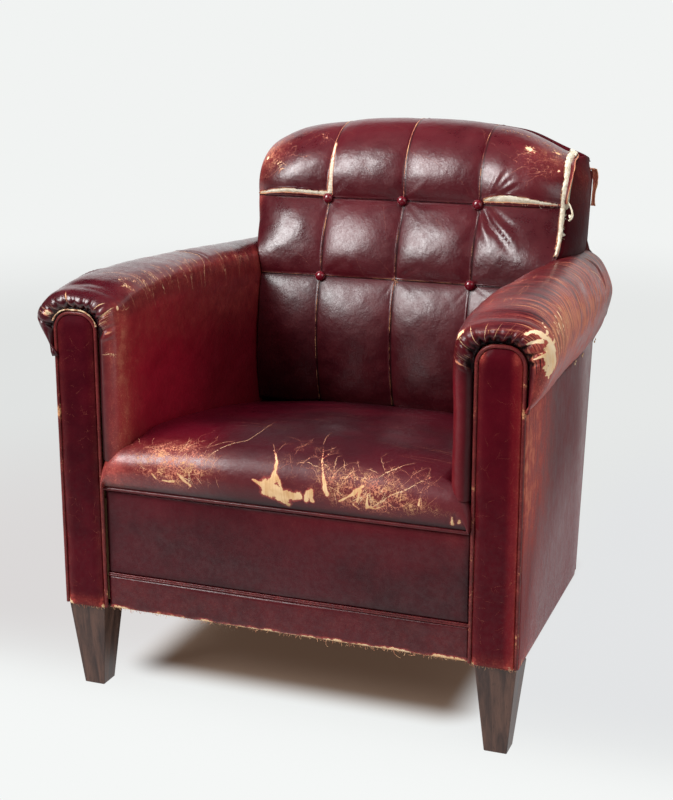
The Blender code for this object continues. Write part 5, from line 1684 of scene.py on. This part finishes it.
def panelWelts():
    shape = panelShape
    middle = body["frontHalfWidth"] - shape["width"] / 2
    path = roundedTop(shape["width"] / 2 - shape["weltRadius"], shape["top"] - shape["weltRadius"],
                      body["bottomFront"] + 0.001, shape["corner"] - shape["weltRadius"])
    for side, sign in hands.items():
        run = [(sign * (middle + x), 0.0, z) for x, z in path]
        welt(f"facingWelt{side.capitalize()}", [run], shape["weltRadius"], 0.30, "oxblood_leather",
             f"arm_welt_{side}")


def frontWelts():
    half = frontShape["halfWidth"] - 0.0005
    z = frontShape["seatWelt"]
    welt("seatWelt", [[(-half, 0.0, z), (half, 0.0, z)]], 0.003, 0.12, "oxblood_leather", "seat_welt")
    runs = [[(-half, 0.0050, z), (half, 0.0050, z)] for z in frontShape["doubleWelt"]]
    welt("doubleWelt", runs, 0.0015, 0.18, "oxblood_leather", "double_welt")


panelWelts()
frontWelts()
print("welts made")


def fibreLook(name, dark, light):
    book = ShadeBook(name)
    place = book.place()
    tone = book.ease(book.noise(place, 140.0, 2.0), 0.35, 0.65)
    return book.set(Base_Color=book.blend(tone, dark, light), Roughness=0.8 + 0.15 * tone)


cottonFibre = fibreLook("cottonFibre", screen(206, 186, 150), screen(240, 230, 208))
hideFibre = fibreLook("hideFibre", screen(176, 104, 76), screen(224, 178, 136))
paleHide = fibreLook("paleHide", screen(158, 100, 70), screen(236, 208, 168))


def strip(name, path, widths, across, curl, look, marks, slot, *replaced):
    # a narrow torn ribbon of leather along a path, its edges curled
    keys = np.array(path, float)
    s, run = evenStations(keys, 0.0015)
    middle = alongKeys(np.broadcast_to(keys, (len(s),) + keys.shape), s)
    half = np.interp(run / run[-1], np.linspace(0, 1, len(widths)), widths)
    heading = np.gradient(middle, axis=0)
    heading /= np.linalg.norm(heading, axis=-1, keepdims=True)
    sideways = np.array(across, float) - heading * (heading @ np.array(across, float))[:, None]
    sideways /= np.linalg.norm(sideways, axis=-1, keepdims=True)
    facing = np.cross(sideways, heading)
    facing *= np.where(facing[:, 1:2] > 0, -1, 1)
    w = np.linspace(-1, 1, 9)
    ragged = softNoise(middle, 300.0)[:, None] * 0.25
    grid = middle[:, None] + sideways[:, None] * (half[:, None] * (w + ragged * w ** 3))[..., None]
    grid = grid + facing[:, None] * (curl * w ** 2 + softNoise(grid, 120.0) * 0.0006)[..., None]
    flat = np.stack(np.broadcast_arrays(half.max() * w[None, :], run[:, None]), axis=-1)
    turned = float(np.sum(gridNormals(grid) * facing[:, None])) > 0
    marks = {mark: np.broadcast_to(np.asarray(value)[None, :], grid.shape[:2])
             for mark, value in marks.items()}
    obj = closedSheet(name, grid, flat, marks, look, thickness=0.0016, outward=1 if turned else -1)
    settle(obj, slot, *replaced)


edgeWorn = {"fold": (0.9, 0.55, 0.2, 0.1, 0.1, 0.1, 0.2, 0.55, 0.9), "rub": (2.0,) * 9, "lively": (0.3,) * 9}
strip("looseStrip", [(0.2935, 0.7490, 0.7830), (0.2980, 0.7500, 0.7855), (0.3030, 0.7510, 0.7830),
                     (0.3052, 0.7520, 0.7760),
                     (0.3056, 0.7530, 0.7660), (0.3048, 0.7536, 0.7540), (0.3034, 0.7540, 0.7400),
                     (0.3030, 0.7536, 0.7190)], (0.0036, 0.0051, 0.0048, 0.0036, 0.0022, 0.0022, 0.0040),
      (1.0, -0.25, 0.1), 0.0014, leather, edgeWorn, "worn_leather", "loose_welt_strip")


def byEdge(*spots):
    # places by the torn right edge of the inside back: height, right of it and ahead of it in millimetres
    height, right, ahead = np.array(spots).T / 1000
    x, y = (np.interp(height, backSurface[:, -1, 2], backSurface[:, -1, axis]) for axis in (0, 1))
    return np.stack([x + right, y - ahead, height], axis=-1)


flapWorn = {"fold": (0.4, 0.1, 0.0, 0.0, 0.0, 0.0, 0.3, 0.7, 0.95), "rub": (0.2,) * 9, "lively": (0.5,) * 9}
strip("curledFlap", byEdge((812, -3, 2), (806, 3, 5), (796, 6, 7), (784, 5, 7), (770, 4, 6), (752, 3, 5),
                           (740, 3, 4)), (0.0030, 0.0051, 0.0036, 0.0028, 0.0022, 0.0014),
      (1.0, -0.6, 0.0), 0.0022, leather, flapWorn, "worn_leather")
welt("looseTuft", [byEdge((745, 3, 3), (739, 9, 6), (731, 13, 7), (723, 16, 7), (717, 15, 6), (713, 10, 5)),
                   byEdge((722, 10, 5), (717, 12.5, 7), (725, 15, 8))],
     0.0017, 0.0, "wadding", look=wadding, lump=0.0014)
facingTop = roundedTop(panelShape["width"] / 2 + 0.0016, panelShape["top"] + 0.0026, 0.595,
                       panelShape["corner"] + 0.001)[4:-3]
facingMiddle = body["frontHalfWidth"] - panelShape["width"] / 2
welt("tornFacingEdge", [[(-facingMiddle - x, -0.0040, z) for x, z in facingTop]], 0.0012, 0.0, "worn_leather",
     look=paleHide, lump=0.0016)
print("torn strips made")


def fibreTree():
    # short bent fibres that stand out along a torn edge
    book = GrowBook("tornFibres", {"Spacing": ("Float", 0.003), "Length": ("Float", 0.006),
                                   "Thick": ("Float", 0.0002),
                                   "Spread": ("Float", 0.8), "Look": ("Material", None)})
    curve = book.node("GeometryNodeMeshToCurve", {"Mesh": book.given("Geometry")})
    points = book.node("GeometryNodeResampleCurve", {"Curve": curve, "Length": book.given("Spacing")},
                       mode="LENGTH")
    long = book.given("Length")
    hair = book.node("GeometryNodeCurveQuadraticBezier",
                     {"Resolution": 7, "Start": (0.0, 0.0, 0.0), "Middle": book.vector(0.0, 0.0, long * -0.6),
                      "End": book.vector(long * 0.55, 0.0, long * -0.9)})
    ring = book.node("GeometryNodeCurvePrimitiveCircle", {"Resolution": 5, "Radius": book.given("Thick")})
    fibre = book.node("GeometryNodeCurveToMesh", {"Curve": hair, "Profile Curve": ring, "Fill Caps": True})
    spread = book.given("Spread")
    tilt = book.dice((-1.0, -1.0, -3.14), (1.0, 1.0, 3.14), 3, "FLOAT_VECTOR")
    turn = book.vectorMaths("MULTIPLY", {0: tilt, 1: book.vector(spread, spread, 1.0)})
    placed = book.node("GeometryNodeInstanceOnPoints", {"Points": points, "Instance": fibre, "Rotation": turn,
                                                            "Scale": book.dice(0.35, 1.4, 8)})
    return book.end(placed, book.given("Look"))


fibres = fibreTree()


def fray(name, runs, spacing, length, thick, spread, look, slot):
    obj = grown(name, pathMesh(name, runs), fibres, Spacing=spacing, Length=length, Thick=thick,
                Spread=spread, Look=look)
    settle(obj, slot)


def frays():
    half = frontShape["halfWidth"]
    foot = frontShape["band"][0]
    wavy = [(x, 0.0045, foot + 0.0008) for x in np.linspace(-half, half, 60)]
    fray("bandFray", [wavy], 0.0032, 0.0042, 0.00022, 0.7, hideFibre, "oxblood_leather")
    fray("bandThreads", [wavy[30:52]], 0.0300, 0.0120, 0.00030, 0.9, hideFibre, "oxblood_leather")
    feet = [[(side * x, -0.004, body["bottomFront"] + 0.0008) for x in np.linspace(0.299, 0.366, 8)]
            for side in (-1, 1)]
    fray("facingFray", feet, 0.0030, 0.0042, 0.00022, 0.7, hideFibre, "oxblood_leather")
    edge = byEdge(*((z, -2, 3) for z in np.linspace(680, 810, 24)))
    fray("edgeFray", [edge], 0.0022, 0.0065, 0.00016, 1.3, cottonFibre, "wadding")
    corner = [tuple(backSurface[-12, k] - (0, 0.002, -0.001)) for k in range(-34, -1, 2)]
    fray("cornerFray", [corner], 0.0020, 0.0060, 0.00020, 1.6, hideFibre, "oxblood_leather")
    row = tornSeams["rightRow"][0]
    along = onSheet(backSurface, backFlat, np.array([u for u, v in row]),
                    np.array([v - 0.004 for u, v in row]))
    along = [tuple(point - (0, 0.001, 0)) for point in along]
    fray("rowFray", [along], 0.0060, 0.0050, 0.00016, 1.2, cottonFibre, "wadding")
    spot = backSurface[backRowStarts[0], 2 * backShape["padColumns"]]
    knot = [tuple(spot + (x, -0.004, z))
            for x, z in ((-0.004, 0.004), (0.0, 0.0), (0.003, -0.003), (0.005, -0.006))]
    fray("buttonKnot", [knot], 0.0008, 0.0065, 0.00030, 1.6, hideFibre, "oxblood_leather")


frays()
print("frayed edges made")


def nailTree():
    # a low round head on each point, facing out to the side
    book = GrowBook("seamNails", {"Radius": ("Float", 0.0022), "Look": ("Material", None)})
    ball = book.node("GeometryNodeMeshUVSphere", {"Segments": 16, "Rings": 8, "Radius": book.given("Radius")})
    head = book.node("GeometryNodeTransform", {"Geometry": ball, "Scale": (0.55, 1.0, 1.0)})
    placed = book.node("GeometryNodeInstanceOnPoints", {"Points": book.given("Geometry"), "Instance": head,
                                                            "Scale": book.dice(0.8, 1.25, 4)})
    return book.end(placed, book.given("Look"))


def nails():
    # nails drawn proud where the roll's lower edge has pulled along the right side
    spots = [(sideX(depth) + 0.0052, depth, z) for depth, z in
             ((0.437, 0.4985), (0.448, 0.5005), (0.525, 0.4925), (0.536, 0.4935), (0.688, 0.4830),
              (0.700, 0.4850))]
    base = newMesh("seamNails", world(spots), [])
    brass = fibreLook("wornBrass", screen(176, 132, 92), screen(240, 214, 172))
    settle(grown("seamNails", base, nailTree(), Radius=0.0021, Look=brass), "worn_leather")


nails()


def buttonTree():
    # a leather-covered dome on each point, each tilted a little at random
    book = GrowBook("tuftButtons", {"Radius": ("Float", 0.0095), "Height": ("Float", 0.0065),
                                    "Look": ("Material", None)})
    ball = book.node("GeometryNodeMeshUVSphere",
                     {"Segments": 32, "Rings": 16, "Radius": book.given("Radius")})
    squash = book.vector(1.0, book.given("Height") / book.given("Radius"), 1.0)
    turned = book.node("GeometryNodeTransform", {"Geometry": ball, "Rotation": (math.pi / 2, 0, 0)})
    dome = book.node("GeometryNodeTransform", {"Geometry": turned, "Scale": squash})
    tilt = book.dice(-0.12, 0.12, 5)
    placed = book.node("GeometryNodeInstanceOnPoints", {"Points": book.given("Geometry"), "Instance": dome,
                                                            "Rotation": book.vector(tilt, 0.0, tilt)})
    return book.end(placed, book.given("Look"))


def buttons():
    spots = []
    for row, columns in ((0, (-1, 1)), (1, (-1, 0, 1))):
        for column in columns:
            point = backSurface[backRowStarts[row], (column + 2) * backShape["padColumns"]]
            spots.append(point - (0, 0.0065 + 0.0005, 0))
    base = newMesh("tuftButtons", world(spots), [])
    obj = grown("tuftButtons", base, buttonTree(), Radius=0.0090, Height=0.0065, Look=buttonLeather)
    settle(obj, "oxblood_leather", "button_1", "button_2", "button_3", "button_4", "button_5")


buttonLeather = leatherLook("buttonLeather", flush=1.0, dull=-0.22, shine=0.8)
buttons()
print("buttons made")


stageShape = {
    "radius": 30.0,
    "paperEdge": (-1.9, -1.1),
    "white": (241, 243, 242),
    # painted tones of the glowing paper: whiter in front, greyer behind the chair to each side
    "frontWhite": (245, 247, 246),
    "leftGrey": (217, 211, 211),
    "rightGrey": (226, 227, 230),
    "shade": (-0.020, 0.235, 0.105, 0.335),
    "shadeEdge": (0.0, 0.090),
    # painted bounce light under the chair: a brown floor tint and a faint warm glow
    "underside": (0.36, 0.27, 0.21),
    "underGlow": (0.070, 0.040, 0.026),
}


def studio():
    # a pale floor; far from the chair it glows like lit paper, and it ends short of the camera
    rings = [0.0, 0.5, 1.0, 2.0, 4.0, 8.0, stageShape["radius"]]
    points = [(0.0, 0.0, -0.0002)]
    faces = []
    count = 48
    for k, radius in enumerate(rings[1:]):
        points += [(radius * math.cos(2 * math.pi * j / count), radius * math.sin(2 * math.pi * j / count),
                    -0.0002)
                   for j in range(count)]
        for j in range(count):
            here = 1 + k * count + j
            after = 1 + k * count + (j + 1) % count
            faces.append((0, here, after) if k == 0 else (here - count, here, after, after - count))
    book = ShadeBook("palePaper")
    across = book.node("ShaderNodeSeparateXYZ", {"Vector": book.place()})
    along = Value(book, across.socket.node.outputs["Y"])
    # how far a spot lies outside the shade that the seat box throws straight down
    middleX, halfX, middleY, halfY = stageShape["shade"]
    aside = (abs(across - middleX) - halfX).orMore(0.0)
    beyond = (abs(along - middleY) - halfY).orMore(0.0)
    lit = book.ease((aside * aside + beyond * beyond) ** 0.5, *stageShape["shadeEdge"])
    away = (across * across + along * along) ** 0.5
    # painted shade and light on the glowing paper: darker behind the chair, greyer to its left and right, and
    # whiter in front
    behind = book.ease(along, -0.45, -0.10)
    near = 1 - book.ease(away, 0.7, 1.8)
    dim = behind * (0.10 * (1 - book.ease(away, 3.0, 5.0)) + 0.020 * near)
    dim = dim + behind * 0.05 * book.ease(across * -1.0, 0.2, 0.7) * (1 - book.ease(away, 2.6, 4.0))
    paper = book.ease(along, *stageShape["paperEdge"])
    white = screen(*stageShape["white"])
    tone = book.blend(dim, white, (0.0, 0.0, 0.0))
    tone = book.blend(behind * near * book.ease(across * -1.0, 0.15, 0.35) * 0.6, tone,
                      screen(*stageShape["leftGrey"]))
    tone = book.blend(behind * near * book.ease(across, 0.15, 0.35) * 0.6, tone,
                      screen(*stageShape["rightGrey"]))
    tone = book.blend(1 - book.ease(along, -0.55, -0.25), tone, screen(*stageShape["frontWhite"]))
    # painted light: within the shade under the chair the floor is tinted brown and glows faintly warm,
    # standing in for light bounced off the chair
    book.set(Base_Color=stageShape["underside"], Roughness=0.9, Emission_Color=stageShape["underGlow"],
             Emission_Strength=1.0, Specular_IOR_Level=0.0)
    glow = book.node("ShaderNodeEmission", {"Color": book.blend(paper, (0.05, 0.05, 0.05), tone)})
    both = book.node("ShaderNodeMixShader", {0: lit, 1: Value(book, book.shader.outputs[0]), 2: glow})
    book.put(book.tree.nodes["Material Output"].inputs["Surface"], both)
    newMesh("studioFloor", points, faces, book.material)


def lamp(name, place, aim, size, watts):
    data = bpy.data.lights.new(name, "AREA")
    data.shape = "RECTANGLE"
    data.size, data.size_y = size
    data.energy = watts
    obj = newObject(name, data)
    obj.location = place
    obj.rotation_euler = (Vector(aim) - Vector(place)).to_track_quat("-Z", "Y").to_euler()
    return obj


airStrength = 0.06
lightPlan = {
    "leftBox": ((-1.45, -1.95, 2.15), (0.0, 0.15, 0.65), (1.0, 1.6), 85.0),
    "topBox": ((-0.3, 0.1, 2.8), (0.0, 0.0, 0.4), (2.2, 2.2), 85.0),
    "rightFill": ((2.3, -1.5, 1.7), (0.0, 0.0, 0.45), (2.2, 2.0), 18.0),
    "rearWall": ((-0.4, 3.6, 1.5), (-0.4, 0.0, 0.7), (8.0, 3.6), 78.0),
}


def lights():
    world = bpy.data.worlds.new("studioAir")
    world.use_nodes = True
    tree = world.node_tree
    seen = tree.nodes["Background"]
    seen.inputs["Color"].default_value = (*screen(*stageShape["white"]), 1.0)
    air = tree.nodes.new("ShaderNodeBackground")
    air.inputs["Strength"].default_value = airStrength
    path = tree.nodes.new("ShaderNodeLightPath")
    choose = tree.nodes.new("ShaderNodeMixShader")
    tree.links.new(path.outputs["Is Camera Ray"], choose.inputs[0])
    tree.links.new(air.outputs[0], choose.inputs[1])
    tree.links.new(seen.outputs[0], choose.inputs[2])
    tree.links.new(choose.outputs[0], tree.nodes["World Output"].inputs[0])
    bpy.context.scene.world = world
    for name, plan in lightPlan.items():
        box = lamp(name, *plan)
        box.visible_camera = False
        box.visible_glossy = name != "topBox"


def weaveLook(name, warp, weft, pitch):
    # plain-woven cloth: two sets of threads with their shadows between them
    book = ShadeBook(name)
    place = book.place()
    bent = book.wander(place, 35.0, 0.004)
    count = 1.0 / pitch
    over = book.noise(book.stretch(bent, (count, count, 30.0)), 1.0, 1.0)
    under = book.noise(book.stretch(bent, (30.0, count, count)), 1.0, 1.0)
    soil = book.noise(place, 14.0, 3.0)
    colour = book.blend(book.ease(over, 0.35, 0.65), warp, weft)
    colour = book.blend(book.ease(soil, 0.45, 0.75) * 0.5, colour, tuple(c * 0.45 for c in warp))
    return book.set(Base_Color=colour, Roughness=0.95, Normal=book.raised(over + under, 0.0008, 0.8))


def steelLook():
    book = ShadeBook("springSteel")
    place = book.place()
    rust = book.ease(book.noise(place, 60.0, 4.0, 0.6), 0.42, 0.68)
    colour = book.blend(rust, screen(104, 98, 92), screen(92, 52, 32))
    return book.set(Base_Color=colour, Metallic=1 - rust * 0.8, Roughness=0.35 + 0.4 * rust)


def plainLooks():
    # finishes of the hard and hidden parts that keep their own solids
    looks = {
        "leg": stainedWood,
        "spring_canvas": weaveLook("hessian", screen(176, 148, 104), screen(150, 122, 82), 0.0016),
        "back_canvas": weaveLook("backHessian", screen(182, 156, 112), screen(156, 128, 88), 0.0016),
        "strap": weaveLook("juteWebbing", screen(186, 158, 108), screen(150, 112, 70), 0.0022),
        "seat_spring": steelLook(),
        "dust_cover": weaveLook("blackCloth", screen(26, 25, 26), screen(14, 14, 15), 0.0009),
        "rail": woodLook("beech", screen(150, 112, 74), screen(196, 160, 116), 0.62),
        "post": woodLook("beechPost", screen(146, 108, 72), screen(190, 154, 112), 0.62),
    }
    for name, node in nodes.items():
        if node.hide_render:
            continue
        chosen = [look for part, look in looks.items() if part in name]
        if not chosen:
            print("no look for", name)
        node.data.materials.clear()
        node.data.materials.append(chosen[0] if chosen else leather)


def camera():
    data = bpy.data.cameras.new("view")
    data.lens = 67.5
    obj = newObject("view", data)
    obj.location = (0.828, -2.3256, 1.061)
    aim = Vector((-0.0215, -0.0766, 0.4365)) - obj.location
    obj.rotation_euler = aim.to_track_quat("-Z", "Y").to_euler()
    bpy.context.scene.camera = obj


camera()
studio()
lights()
bpy.context.scene.view_settings.view_transform = "Standard"

plainLooks()
